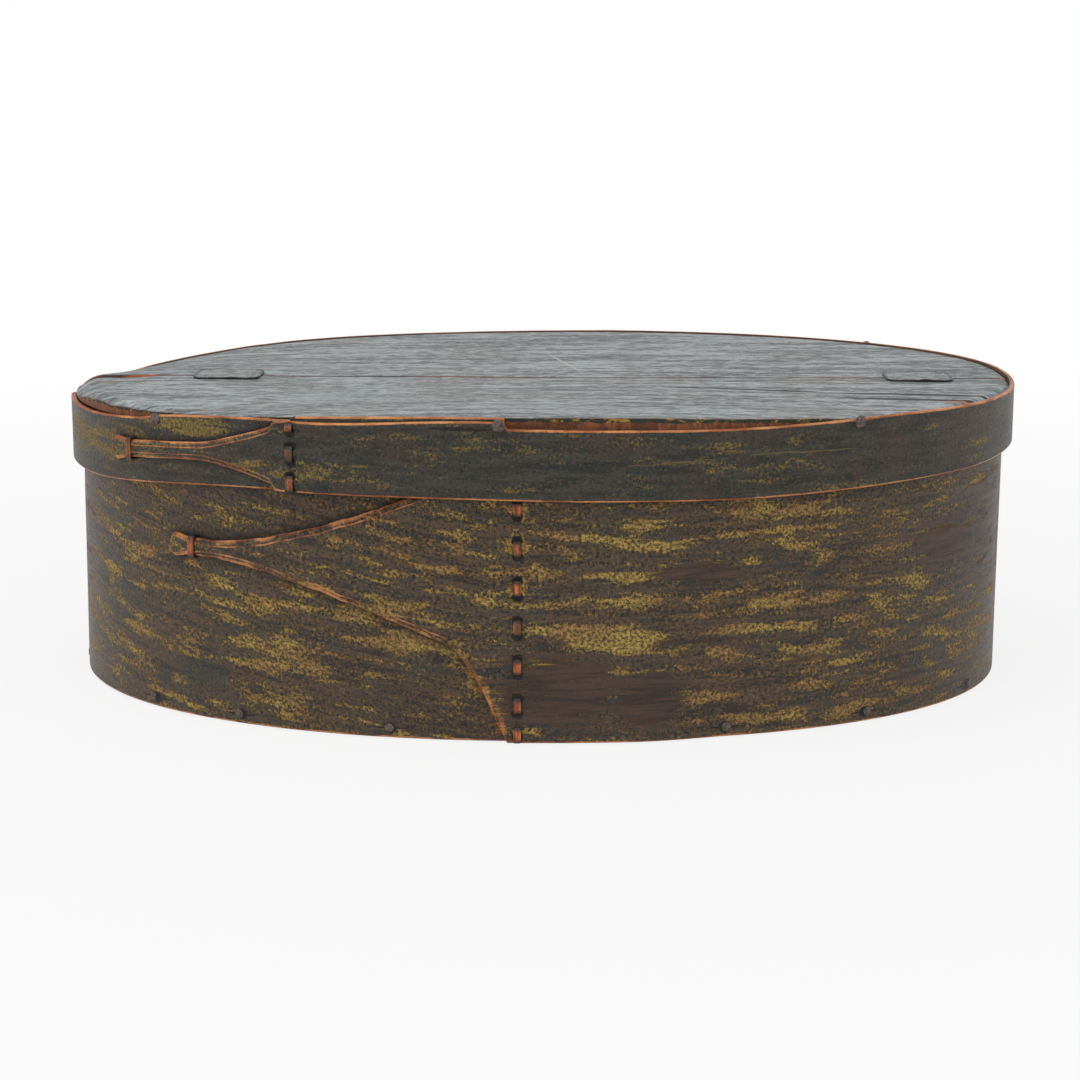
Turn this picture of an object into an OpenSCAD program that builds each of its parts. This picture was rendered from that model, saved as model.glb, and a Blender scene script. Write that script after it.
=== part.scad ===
// Oval bentwood box with a lift-off lid. The body and the lid rim are each one bent strip of
// wood whose pointed finger laps over the other end, sewn with a flat splint lacing. Two flat
// boards, nailed inside the strips, close the bottom and the lid.
// Frame: origin under the middle of the body on the floor, +X to the right end, front at -Y, +Z up.

/* [Body] */
// Length of the body over its band
box_l = 462; // [340:1:600]
// Width of the body over its band, away from the lap
box_w = 312; // [220:1:420]
// Height from the floor to the top edge of the body band
body_h = 139.5; // [120:0.5:220]
// Squareness of every oval, where 2 is a true ellipse
oval_n = 2.15; // [2:0.05:2.4]
// Thickness of the body band
band_t = 3; // [2:0.1:4]
// Gap between the two layers of a lap
lap_gap = 0.2; // [0.1:0.05:0.5]
// Width of the small chamfer along every plain edge of a strip
edge_ease = 0.4; // [0.2:0.1:0.8]

/* [Bottom board] */
// Thickness of the bottom board
bottom_t = 8; // [5:0.5:14]
// How far the bottom board stands out under the band
bottom_proud = 0.8; // [0.2:0.1:2]
// Gap between the edge of a board and the strip round it
board_gap = 0.1; // [0.05:0.05:0.4]

/* [Body lap] */
// Place of the seam round the oval, degrees from the right end, with the front at 270
seam_at = 267; // [255:1:280]
// Length of the finger from the seam to its tip
finger_l = 163; // [120:1:220]
// Height of the middle line of the finger
finger_mid = 83; // [60:1:100]
// Height of the narrow neck of the finger
neck_h = 8; // [5:0.5:14]
// Rise of the long wing on each side of the neck
wing_rise = 46; // [25:1:60]
// Length over which the long wing runs out into the neck
wing_reach = 140; // [90:1:170]
// Rise of the steep root beside the seam
root_rise = 34; // [15:1:60]
// Length over which the steep root runs out
root_reach = 26; // [15:1:60]
// Widening of the tip on each side past the loop
tip_flare = 2; // [0:0.25:4]
// How far the hidden inner end runs on behind the seam
tail_l = 38; // [25:1:90]

/* [Finger edges] */
// Width of the bevel along the edges of a finger
bevel_w = 3; // [1:0.25:5]
// Thickness of wood left at a bevelled edge
bevel_left = 1.3; // [0.8:0.1:1.8]

/* [Lid] */
// Thickness of the two boards of the lid
lid_board_t = 7; // [5:0.5:12]
// Gap between the rim and the body at the two ends
end_gap = 1.4; // [1.2:0.1:4]
// Gap between the rim and the body's widest layer, which the lacing has to pass
side_gap = 2.2; // [1.9:0.1:4]
// Sideways seat of the lid, to the right
lid_shift = 0.5; // [0:0.1:0.5]
// Place of the split between the two boards, from the middle line
split_y = -16; // [-60:1:40]
// Turn of the split line in plan, degrees
split_turn = -1.2; // [-3:0.1:3]
// Width of the split
split_gap = 1; // [0.5:0.1:3]
// How far the front edge of the front board has lifted
front_lift = 5; // [0.5:0.5:6]

/* [Lid rim] */
// Height of the rim strip
rim_h = 32; // [26:0.5:60]
// Thickness of the rim strip
rim_t = 2.6; // [2:0.1:4]
// How far the rim stands over the boards at the back
rim_proud = 0.3; // [0:0.1:1]
// How far the rim has slipped down round the left end
slip_left = 6.5; // [0:0.5:6.5]
// How far the rim has slipped down at the front, beside the seam
slip_front = 2; // [0:0.5:4]
// Place of the rim seam round the oval, degrees
rim_seam_at = 242; // [225:1:265]
// Length of the rim finger from the seam to its tip
rim_finger_l = 98; // [70:1:130]
// Height of the neck of the rim finger
rim_neck_h = 8; // [5:0.5:14]
// Rise of the wing of the rim finger on each side
rim_wing_rise = 11; // [6:0.5:20]
// Length over which that wing runs out
rim_wing_reach = 46; // [30:1:60]
// How far the hidden inner end of the rim runs on behind its seam
rim_tail_l = 100; // [40:1:140]

/* [Lacing] */
// Width of the flat splint that sews the laps
lace_w = 4; // [3:0.25:6]
// Thickness of the splint
lace_t = 1.2; // [0.8:0.1:1.4]
// Play of the splint against the wood
lace_play = 0.2; // [0.15:0.05:0.3]
// Length of one stitch on the outside
stitch_l = 7.5; // [5:0.5:10]
// Step from the stitch round the low edge of the body to the next one
first_pitch = 13.7; // [12:0.1:20]
// Spacing of the other stitches of the body seam
stitch_pitch = 18.2; // [14:0.1:26]
// Spacing of the stitches of the rim seam
rim_stitch_pitch = 13.5; // [12:0.5:18]
// Distance of the stitches behind the root of a finger
stitch_back = 4; // [3:0.5:8]
// Distance of the holding loop from the tip of a finger
loop_back = 13; // [10:0.5:20]

/* [Nails] */
// Radius of a nail head
head_r = 3; // [2:0.1:4]
// Height of a nail head
head_h = 1.4; // [0.8:0.1:2.5]
// Radius of a nail shank
shank_r = 1.1; // [0.7:0.1:1.6]
// Length of a nail under its head
nail_l = 16; // [12:0.5:25]
// Depth of the flat that a nail head is driven into the strip
head_sunk = 0.5; // [0.3:0.1:0.8]
// Play of a nail in its hole
nail_play = 0.05; // [0.02:0.01:0.1]

/* [Mending plates] */
// Length of a plate along the split
plate_l = 33; // [20:1:60]
// Width of a plate across the split
plate_w = 27; // [16:1:50]
// Thickness of the sheet metal
plate_t = 0.8; // [0.5:0.1:1.5]
// Cut-off at each corner of a plate
plate_clip = 4; // [1:0.5:7]
// Middle of the left plate, from the left end of the lid
plate_left_in = 76; // [50:1:130]
// Middle of the right plate, from the right end of the lid
plate_right_in = 46; // [42:1:130]
// Distance of a tack from the edges of its plate
tack_in = 5; // [4:0.25:7]
// Radius of a tack head
tack_head_r = 1.8; // [1.2:0.1:2.5]
// Radius of a tack shank
tack_r = 0.6; // [0.4:0.1:0.9]
// Length of a tack under its head
tack_l = 5.5; // [3:0.5:6]

/* [Hidden] */
// Turn between two rings of a strip away from the finger, and length between two rings on it
ring_step = 4;
root_step = 2;
finger_step = 4;
round_fn = 24;
// Radius of the rounding of a finger tip
tip_round = 3;
tip_zone = 12;
// Turn over which the outer layer of a lap eases back on to the oval
ease_turn = 12;
wing_power = 1.5;
// Overrun of a cutting tool past the wood
over = 1;
// Where the rim has slipped, degrees: round the left end from the back to the front, fully between
// the two middle angles, and about one place at the front
slip_left_turns = [105, 160, 203, 240];
slip_front_at = 287;
slip_front_spread = 30;
// Nails round the bottom and round the lid, degrees, each midway between two rings of the strip
bottom_nails_at = [218, 234, 254, 290, 310, 334, 2, 30, 54, 78, 106, 130, 154, 186];
rim_nails_at = [42, 70, 106, 126, 222, 266, 306];

layer = band_t + lap_gap;
rim_layer = rim_t + lap_gap;
// The inner faces of the two strips, as [half length, half width]
body_in = [box_l / 2 - band_t, box_w / 2 - band_t];
rim_in = [box_l / 2 + end_gap, box_w / 2 + layer / 2 + side_gap];
lid_at = [lid_shift, -layer / 2, 0];

band_low = bottom_proud;
lid_low = body_h;
lid_high = lid_low + lid_board_t;
rim_high = lid_high + rim_proud;
rim_low = rim_high - rim_h;
rim_mid = (rim_low + rim_high) / 2;
lift_angle = atan(front_lift / (rim_in.y + split_y - lid_at.y));

// ---- the oval ----

function signed_pow(v, e) = sign(v) * pow(abs(v), e);

// Point of an oval of half sizes h at angle t
function oval_point(h, t) =
    [h.x * signed_pow(cos(t), 2 / oval_n), h.y * signed_pow(sin(t), 2 / oval_n)];

// Outward direction of the oval there
function oval_out(h, t) =
    let (p = oval_point(h, t),
         g = [signed_pow(p.x / h.x, oval_n - 1) / h.x, signed_pow(p.y / h.y, oval_n - 1) / h.y])
    g / norm(g);

// Pairs of [length walked, angle walked] along the oval from angle t towards the left
function walk_left(h, t) =
    [for (k = 0, s = 0; k <= 90;
          s = s + norm(oval_point(h, t - k - 1) - oval_point(h, t - k)), k = k + 1) [s, k]];

// Angle at a length s to the left of angle t; a negative s goes to the right
function angle_left(h, t, s) = s < 0
    ? t + lookup(-s, walk_left(h, 180 - t))
    : t - lookup(s, walk_left(h, t));

// Outline of a board that fits inside a strip
function board_outline(h) =
    [for (t = [0 : ring_step : 360 - ring_step]) oval_point(h, t) - board_gap * oval_out(h, t)];

// ---- the bent strip ----

function smooth(x) = let (c = max(0, min(1, x))) c * c * (3 - 2 * c);

// A wing that falls away from the seam in a hollow curve
function wing(s, rise, reach) = rise * pow(max(0, 1 - s / reach), wing_power);

// Half height of a finger at a length s from its seam
function finger_half(s, length, neck, wings) =
    let (root = s <= length - tip_round ? 1 : sqrt(max(0.02, 1 - pow((s - length + tip_round) / tip_round, 2))),
         flare = tip_flare * smooth((s - length + tip_zone) / tip_zone))
    (neck / 2 + flare) * (0.4 + 0.6 * root)
        + wing(s, wings[0], wings[1]) + wing(s, wings[2], wings[3]);

// Lengths from the seam at which the finger has a ring
function finger_stops(length, steep) = concat(
    [for (s = [0 : root_step : steep]) s],
    [for (s = [steep + finger_step : finger_step : length - tip_zone]) s],
    [for (k = [3, 2, 1]) length - tip_round - k * (tip_zone - tip_round) / 4],
    [for (r = [0 : 30 : 90]) length - tip_round + tip_round * sin(r)]);

// Angles of the plain rings, from the hidden inner end right round to the seam again
function plain_turns(tail, seam) = concat([tail],
    [for (t = [ring_step * floor((tail - 1) / ring_step) : -ring_step : seam - 360 + 1]) t]);

// One ring of a strip: [angle, rise off the oval, low edge, high edge, bevel width, edge left]
function ring_points(h, thick, r) =
    let (p = oval_point(h, r[0]), n = oval_out(h, r[0]), w = min(r[4], 0.3 * (r[3] - r[2])))
    [for (q = [[0, r[2]], [r[5], r[2]], [thick, r[2] + w], [thick, r[3] - w], [r[5], r[3]], [0, r[3]]])
        [p.x + n.x * (r[1] + q[0]), p.y + n.y * (r[1] + q[0]), q[1]]];

module strip(h, thick, rings) {
    last = len(rings) - 1;
    quads = [for (i = [0 : last - 1], j = [0 : 5])
        [6 * i + j, 6 * i + 6 + j, 6 * i + 6 + (j + 1) % 6, 6 * i + (j + 1) % 6]];
    polyhedron(
        points = [for (r = rings) each ring_points(h, thick, r)],
        faces = concat([[0, 1, 2, 3, 4, 5]],
            [for (q = quads) each [[q[0], q[1], q[2]], [q[0], q[2], q[3]]]],
            [[for (j = [5 : -1 : 0]) 6 * last + j]]));
}

// Places its children at a wall: local X points out of the box and Z up
module at_wall(h, t, z = 0) {
    p = oval_point(h, t);
    n = oval_out(h, t);
    translate([p.x, p.y, z]) rotate([0, 0, atan2(n.y, n.x)]) children();
}

// ---- lacing and nails ----

// Low and high ends of the outside stitches between two edges; the first goes round the low edge
function stitches(low, high, first, pitch) =
    [for (z = concat([low], [for (z = [low + first : pitch : high - stitch_l]) z]))
        [z, min(z + stitch_l, high - 2 * lace_t)]];

module splint_bar(x0, x1, z0, z1, play = 0) {
    translate([x0 - play, -lace_w / 2 - play, z0]) cube([x1 - x0 + 2 * play, lace_w + 2 * play, z1 - z0]);
}

// Running stitch through a wall of the given depth
module lacing(runs, depth) {
    out = depth + lace_play;
    in = -lace_play - lace_t;
    for (i = [0 : len(runs) - 1]) {
        splint_bar(out, out + lace_t, runs[i][0], runs[i][1]);
        for (z = [runs[i][0], runs[i][1] - lace_t]) splint_bar(in, out + lace_t, z, z + lace_t);
        if (i > 0) splint_bar(in, in + lace_t, runs[i - 1][1] - lace_t, runs[i][0] + lace_t);
    }
}

module lacing_slits(runs, depth) {
    for (r = runs, z = [r[0], r[1] - lace_t])
        splint_bar(-over, depth + over, z == runs[0][0] ? z - over : z, z + lace_t, lace_play);
}

// Loop of splint over the neck of a finger, its legs through the layer behind
module holding_loop(low, high, depth) {
    out = depth + lace_play;
    in = -lace_play - lace_t;
    foot = low - lace_play - lace_t;
    head = high + lace_play + lace_t;
    difference() {
        splint_bar(in, out + lace_t, foot, head);
        splint_bar(in + lace_t, out, foot + lace_t, head - lace_t, over);
    }
}

module loop_slits(low, high, depth) {
    for (z = [low - lace_play - lace_t, high + lace_play]) splint_bar(-over, depth, z, z + lace_t, lace_play);
}

// Nail along local X with the seat of its head at the origin
module nail() {
    rotate([0, 90, 0]) rotate_extrude($fn = round_fn) polygon([[0, -nail_l], [shank_r, 2 * shank_r - nail_l],
        [shank_r, 0], [head_r, 0], [0.85 * head_r, 0.6 * head_h], [0.45 * head_r, head_h], [0, head_h]]);
}

// What a nail takes out of the wood: a hole for the shank and a flat for the head
module nail_cut() {
    rotate([0, 90, 0]) {
        translate([0, 0, -nail_l - over])
            cylinder(r = shank_r + nail_play, h = nail_l + 2 * over, $fn = round_fn);
        cylinder(r = head_r + nail_play, h = head_h + 2 * over, $fn = round_fn);
    }
}

// ---- the body ----

seam_wings = [wing_rise, wing_reach, root_rise, root_reach];
tail_at = angle_left(body_in, seam_at, -tail_l);
seam_stitch_at = angle_left(body_in, seam_at, -stitch_back);
body_loop_at = angle_left(body_in, seam_at, finger_l - loop_back);
body_runs = stitches(band_low, body_h, first_pitch, stitch_pitch);
body_neck = finger_half(finger_l - loop_back, finger_l, neck_h, seam_wings);

// Rise of the outer layer off the oval, full over the hidden end
function outer_rise(t, tail, full) = full * smooth((tail - 360 + ring_step + ease_turn - t) / ease_turn);

function body_rings() = concat(
    [for (t = plain_turns(tail_at, seam_at))
        [t, outer_rise(t, tail_at, layer), band_low, body_h, edge_ease, band_t - edge_ease]],
    [for (s = finger_stops(finger_l, root_reach))
        let (half = finger_half(s, finger_l, neck_h, seam_wings),
             cut = smooth(s / root_reach))
        [angle_left(body_in, seam_at, s) - 360, layer,
         max(band_low, finger_mid - half), min(body_h, finger_mid + half),
         edge_ease + cut * (bevel_w - edge_ease), band_t - edge_ease - cut * (band_t - edge_ease - bevel_left)]]);

module bottom_nail_places() {
    for (t = bottom_nails_at) at_wall(body_in, t, (band_low + bottom_t) / 2)
        translate([band_t - head_sunk, 0, 0]) children();
}

module body_band() {
    color([0.34, 0.27, 0.10]) difference() {
        strip(body_in, band_t, body_rings());
        at_wall(body_in, seam_stitch_at) lacing_slits(body_runs, layer + band_t);
        at_wall(body_in, body_loop_at) loop_slits(finger_mid - body_neck, finger_mid + body_neck, layer);
        bottom_nail_places() nail_cut();
    }
}

module body_seam_lacing() {
    color([0.50, 0.25, 0.10]) at_wall(body_in, seam_stitch_at) lacing(body_runs, layer + band_t);
}

module body_finger_loop() {
    color([0.50, 0.25, 0.10]) at_wall(body_in, body_loop_at)
        holding_loop(finger_mid - body_neck, finger_mid + body_neck, layer + band_t);
}

module bottom_board() {
    color([0.30, 0.20, 0.12]) difference() {
        linear_extrude(height = bottom_t) polygon(board_outline(body_in));
        at_wall(body_in, seam_stitch_at)
            splint_bar(-lace_play - lace_t, over, -over, bottom_t + over, lace_play);
        bottom_nail_places() nail_cut();
    }
}

module bottom_nails() {
    color([0.10, 0.08, 0.07]) bottom_nail_places() nail();
}

// ---- the lid ----

rim_wings = [rim_wing_rise, rim_wing_reach, root_rise, 2 * stitch_l / 3];
rim_tail_at = angle_left(rim_in, rim_seam_at, -rim_tail_l);
rim_stitch_at = angle_left(rim_in, rim_seam_at, -stitch_back);
rim_loop_at = angle_left(rim_in, rim_seam_at, rim_finger_l - loop_back);
rim_runs = stitches(rim_low - slip(rim_stitch_at), rim_high + stitch_l - 2 * lace_t,
    rim_stitch_pitch, rim_stitch_pitch);
rim_neck = finger_half(rim_finger_l - loop_back, rim_finger_l, rim_neck_h, rim_wings);

function hump(t, middle, spread) = abs(t - middle) >= spread ? 0 : pow(cos(90 * (t - middle) / spread), 2);

// 0 outside the four angles, 1 between the middle two, and a smooth change on each side
function plateau(t, turns) =
    smooth((t - turns[0]) / (turns[1] - turns[0])) * smooth((turns[3] - t) / (turns[3] - turns[2]));

// How far the rim has slipped down at angle t
function slip(t) = let (u = (t + 720) % 360)
    slip_left * plateau(u, slip_left_turns) + slip_front * hump(u, slip_front_at, slip_front_spread);

// How far the boards stand above their flat place at a wall of the lid
function board_lift(t) = max(0, split_y - lid_at.y - oval_point(rim_in, t).y) * tan(lift_angle);

// High edge of the layer against the boards; the hidden end still stands as high as the front board
function inner_high(t) = rim_high - slip(t) + (t > rim_stitch_at && t <= rim_tail_at ? board_lift(t) : 0);

function rim_rings() = concat(
    [for (t = plain_turns(rim_tail_at, rim_seam_at))
        [t, outer_rise(t, rim_tail_at, rim_layer), rim_low - slip(t), inner_high(t), edge_ease, rim_t - edge_ease]],
    [for (s = finger_stops(rim_finger_l, 2 * stitch_l))
        let (half = finger_half(s, rim_finger_l, rim_neck_h, rim_wings),
             cut = smooth(s / stitch_l), t = angle_left(rim_in, rim_seam_at, s) - 360)
        [t, rim_layer, max(rim_low, rim_mid - half) - slip(t), min(rim_high, rim_mid + half) - slip(t),
         edge_ease + cut * (bevel_w - edge_ease), rim_t - edge_ease - cut * (rim_t - edge_ease - bevel_left)]]);

module rim_nail_places() {
    translate(lid_at) for (t = rim_nails_at)
        at_wall(rim_in, t, (lid_low + board_lift(t) + inner_high(t)) / 2)
            translate([rim_t + (t > rim_stitch_at && t < rim_tail_at ? rim_layer : 0) - head_sunk, 0, 0]) children();
}

module lid_rim() {
    loop_mid = rim_mid - slip(rim_loop_at);
    color([0.13, 0.13, 0.09]) difference() {
        translate(lid_at) difference() {
            strip(rim_in, rim_t, rim_rings());
            at_wall(rim_in, rim_stitch_at) lacing_slits(rim_runs, rim_layer + rim_t);
            at_wall(rim_in, rim_loop_at) loop_slits(loop_mid - rim_neck, loop_mid + rim_neck, rim_layer);
        }
        rim_nail_places() nail_cut();
    }
}

module rim_seam_lacing() {
    color([0.42, 0.22, 0.12]) translate(lid_at) at_wall(rim_in, rim_stitch_at)
        lacing(rim_runs, rim_layer + rim_t);
}

module rim_finger_loop() {
    loop_mid = rim_mid - slip(rim_loop_at);
    color([0.50, 0.32, 0.10]) translate(lid_at) at_wall(rim_in, rim_loop_at)
        holding_loop(loop_mid - rim_neck, loop_mid + rim_neck, rim_layer + rim_t);
}

// Swings its children up about the lower edge of the split, as the front board has lifted
module lifted() {
    translate([0, split_y, lid_low]) rotate([0, 0, split_turn]) rotate([-lift_angle, 0, 0])
        rotate([0, 0, -split_turn]) translate([0, -split_y, -lid_low]) children();
}

// Everything on one side of the split line: side 1 is the back and -1 the front
module half_space(side, gap = 0) {
    reach = rim_in.x + rim_in.y;
    translate([0, split_y, 0]) rotate([0, 0, split_turn])
        translate([-reach, side > 0 ? gap / 2 : -reach - gap / 2, -over])
            cube([2 * reach, reach, lid_high + reach]);
}

module lid_slab() {
    translate(lid_at + [0, 0, lid_low]) linear_extrude(height = lid_board_t) polygon(board_outline(rim_in));
}

module lid_board_front() {
    color([0.22, 0.24, 0.25]) difference() {
        lifted() intersection() {
            lid_slab();
            half_space(-1, split_gap);
        }
        translate(lid_at) at_wall(rim_in, rim_stitch_at)
            splint_bar(-lace_play - lace_t, over, lid_low - over, rim_high + 2 * front_lift, lace_play);
        rim_nail_places() nail_cut();
        plate_tack_places(-1) tack_hole();
    }
}

module lid_board_back() {
    color([0.20, 0.22, 0.23]) difference() {
        intersection() {
            lid_slab();
            half_space(1, split_gap);
        }
        rim_nail_places() nail_cut();
        plate_tack_places(1) tack_hole();
    }
}

module rim_nails() {
    color([0.20, 0.13, 0.11]) rim_nail_places() nail();
}

// ---- the mending plates over the split ----

plate_places = [lid_at.x - rim_in.x + plate_left_in, lid_at.x + rim_in.x - plate_right_in];

function plate_outline() = let (x = plate_l / 2, y = plate_w / 2, c = plate_clip)
    [[x - c, -y], [x, c - y], [x, y - c], [x - c, y], [c - x, y], [-x, y - c], [-x, c - y], [c - x, -y]];

// Height of the top of the boards along the split, and the frame of a plate on it
module on_split(x) {
    translate([0, split_y, lid_high]) rotate([0, 0, split_turn]) translate([x, 0, 0]) children();
}

module plate_leaf(x, side) {
    intersection() {
        on_split(x) linear_extrude(height = plate_t) polygon(plate_outline());
        half_space(side);
    }
}

module mending_plate(x) {
    color([0.36, 0.37, 0.37]) difference() {
        union() {
            plate_leaf(x, 1);
            lifted() plate_leaf(x, -1);
        }
        for (side = [-1, 1]) tacks_of(x, side) tack_hole();
    }
}

module mending_plate_left() { mending_plate(plate_places[0]); }
module mending_plate_right() { mending_plate(plate_places[1]); }

// Tack places of the plate at x, on the board of the given side
module tacks_of(x, side) {
    for (u = [-1, 1]) {
        if (side > 0) tack_place(x, u, side) children();
        else lifted() tack_place(x, u, side) children();
    }
}

module tack_place(x, u, side) {
    on_split(x) translate([u * (plate_l / 2 - tack_in), side * (plate_w / 2 - tack_in), plate_t]) children();
}

module plate_tack_places(side) {
    for (x = plate_places) tacks_of(x, side) children();
}

module tack() {
    rotate_extrude($fn = round_fn) polygon([[0, -tack_l], [tack_r, 2 * tack_r - tack_l], [tack_r, 0],
        [tack_head_r, 0], [0.7 * tack_head_r, 0.4 * tack_head_r], [0, 0.5 * tack_head_r]]);
}

module tack_hole() {
    translate([0, 0, -tack_l - over]) cylinder(r = tack_r + nail_play, h = tack_l + 2 * over, $fn = round_fn);
}

module plate_tacks() {
    color([0.24, 0.23, 0.22]) for (side = [-1, 1]) plate_tack_places(side) tack();
}

body_band();
body_seam_lacing();
body_finger_loop();
bottom_board();
bottom_nails();
lid_rim();
rim_seam_lacing();
rim_finger_loop();
lid_board_front();
lid_board_back();
rim_nails();
mending_plate_left();
mending_plate_right();
plate_tacks();
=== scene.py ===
"""Dressed model of an old oval bentwood box with a lift-off lid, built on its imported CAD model."""
import math

import bmesh
import bpy
import numpy as np
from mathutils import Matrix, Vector, noise


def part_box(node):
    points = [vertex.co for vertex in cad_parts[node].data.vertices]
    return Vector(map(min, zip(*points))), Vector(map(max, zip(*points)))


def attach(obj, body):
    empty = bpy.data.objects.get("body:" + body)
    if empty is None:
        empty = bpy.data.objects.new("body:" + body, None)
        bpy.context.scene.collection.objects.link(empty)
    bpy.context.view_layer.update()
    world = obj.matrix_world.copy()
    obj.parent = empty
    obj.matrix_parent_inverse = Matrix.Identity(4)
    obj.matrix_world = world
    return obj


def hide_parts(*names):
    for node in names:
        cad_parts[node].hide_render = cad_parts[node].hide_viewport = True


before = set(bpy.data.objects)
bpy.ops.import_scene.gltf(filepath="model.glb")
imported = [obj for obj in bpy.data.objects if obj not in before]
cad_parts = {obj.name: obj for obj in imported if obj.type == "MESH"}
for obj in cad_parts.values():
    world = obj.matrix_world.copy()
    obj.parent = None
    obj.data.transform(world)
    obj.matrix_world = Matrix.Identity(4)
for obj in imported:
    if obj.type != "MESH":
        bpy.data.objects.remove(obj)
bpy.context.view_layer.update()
scene = bpy.context.scene


# ---- The studio ----
# A pale floor that runs out to a white surround, one broad soft lamp over the box, a weaker one at
# the front left and another at the right, and the camera a little above the lid.

MM = 0.001
WHITE = (1, 1, 1, 1)


def srgb(red, green, blue):
    """A colour given as it looks on a screen, 0 to 255, as the linear colour a shader takes."""
    parts = [value / 255 for value in (red, green, blue)]
    return tuple(p / 12.92 if p <= 0.04045 else ((p + 0.055) / 1.055) ** 2.4 for p in parts) + (1.0,)


class Value:
    """One output in a shader tree. Sums, products, ramps and blends of it add the nodes they need."""

    def __init__(self, tree, socket):
        self.tree, self.socket = tree, socket

    def also(self, name):
        """Another output of the same node."""
        return Value(self.tree, self.socket.node.outputs[name])

    def maths(self, operation, *others, clamp=False):
        more = {f"n{k + 1}": other for k, other in enumerate(others)}
        return put(self.tree, "Math", {"operation": operation, "use_clamp": clamp}, n0=self, **more)

    def vectors(self, operation, *others, output=0):
        more = {f"n{k + 1}": other for k, other in enumerate(others)}
        return put(self.tree, "VectorMath", {"operation": operation}, output, n0=self, **more)

    def __add__(self, other):
        return self.maths("ADD", other)

    def __sub__(self, other):
        return self.maths("SUBTRACT", other)

    def __mul__(self, other):
        return self.maths("MULTIPLY", other)

    def axes(self):
        """The three parts of a vector."""
        first = put(self.tree, "SeparateXYZ", Vector=self)
        return first, first.also(1), first.also(2)

    def clouds(self, scale, detail, roughness=0.5, distortion=0.0):
        """Soft noise at this place."""
        return put(self.tree, "TexNoise", Vector=self, Scale=scale, Detail=detail, Roughness=roughness,
                   Distortion=distortion)

    def ramp(self, low, high, to_low=0.0, to_high=1.0):
        """A smooth change from to_low to to_high while the value goes from low to high."""
        return put(self.tree, "MapRange", {"interpolation_type": "SMOOTHSTEP"}, n0=self, n1=low, n2=high,
                   n3=to_low, n4=to_high)

    def blend(self, under, over):
        """One colour over another as far as the value says; a plain colour is as it looks on a screen."""
        under, over = (srgb(*c) if isinstance(c, tuple) else c for c in (under, over))
        return put(self.tree, "Mix", {"data_type": "RGBA"}, 2, n0=self, n6=under, n7=over)


def put(tree, kind, settings=None, output=0, **inputs):
    """Adds a node and gives one of its outputs; an input is named with _ for a space, or numbered as n0."""
    node = tree.nodes.new("ShaderNode" + kind)
    for key, value in (settings or {}).items():
        setattr(node, key, value)
    for key, value in inputs.items():
        socket = node.inputs[int(key[1:]) if key[1:].isdigit() else key.replace("_", " ")]
        if isinstance(value, Value):
            tree.links.new(value.socket, socket)
        else:
            socket.default_value = value
    return Value(tree, node.outputs[output]) if node.outputs else None


def seen_directly(tree):
    """1 for what the camera sees straight, in a polished surface or through glass."""
    straight = put(tree, "LightPath", output="Is Camera Ray")
    mirrored = straight.maths("MAXIMUM", straight.also("Is Glossy Ray"))
    return mirrored.maths("MAXIMUM", straight.also("Is Transmission Ray"))


def new_paint(name):
    """An empty material: itself, its node tree, and the place on the object."""
    paint = bpy.data.materials.new(name)
    paint.use_nodes = True
    tree = paint.node_tree
    tree.nodes.clear()
    return paint, tree, put(tree, "TexCoord", output="Object")


scene.view_settings.view_transform = "Standard"
AMBIENT = 0.40
FLOOR_HALF = 20
FLOOR_GREY = (0.80, 0.80, 0.80, 1)

world = bpy.data.worlds.new("white_surround")
scene.world = world
world.use_nodes = True
tree = world.node_tree
tree.nodes.clear()
ambient = put(tree, "Background", Color=WHITE, Strength=AMBIENT)
white = put(tree, "Background", Color=WHITE, Strength=1.0)
surround = put(tree, "MixShader", n0=seen_directly(tree), n1=ambient, n2=white)
put(tree, "OutputWorld", Surface=surround)

floor_bm = bmesh.new()
bmesh.ops.create_grid(floor_bm, x_segments=4, y_segments=4, size=FLOOR_HALF)
floor_mesh = bpy.data.meshes.new("floor")
floor_bm.to_mesh(floor_mesh)
floor = bpy.data.objects.new("floor", floor_mesh)
scene.collection.objects.link(floor)
floor_paint, tree, place = new_paint("pale_floor")
matt = put(tree, "BsdfDiffuse", Color=FLOOR_GREY)
glow = put(tree, "Emission", Color=WHITE, Strength=1.0)
whiter = place.vectors("LENGTH", output="Value").ramp(0.25, 1.1, 0.84, 1.0)
put(tree, "OutputMaterial", Surface=put(tree, "MixShader", n0=seen_directly(tree) * whiter, n1=matt, n2=glow))
floor_mesh.materials.append(floor_paint)


def lamp(name, place, target, size, power):
    """A round soft lamp that points at its target."""
    data = bpy.data.lights.new(name, "AREA")
    data.shape, data.size, data.energy = "DISK", size, power
    thing = bpy.data.objects.new(name, data)
    thing.location = place
    thing.rotation_euler = (Vector(target) - Vector(place)).to_track_quat("-Z", "Y").to_euler()
    scene.collection.objects.link(thing)


lamp("broad_lamp", (-0.35, -0.25, 1.9), (0, 0, 0.1), size=1.4, power=12.5)
lamp("front_lamp", (-1.2, -1.9, 1.0), (0, 0, 0.08), size=1.0, power=9)
lamp("right_lamp", (1.9, -0.9, 0.9), (0.1, 0, 0.08), size=0.7, power=5)

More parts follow.
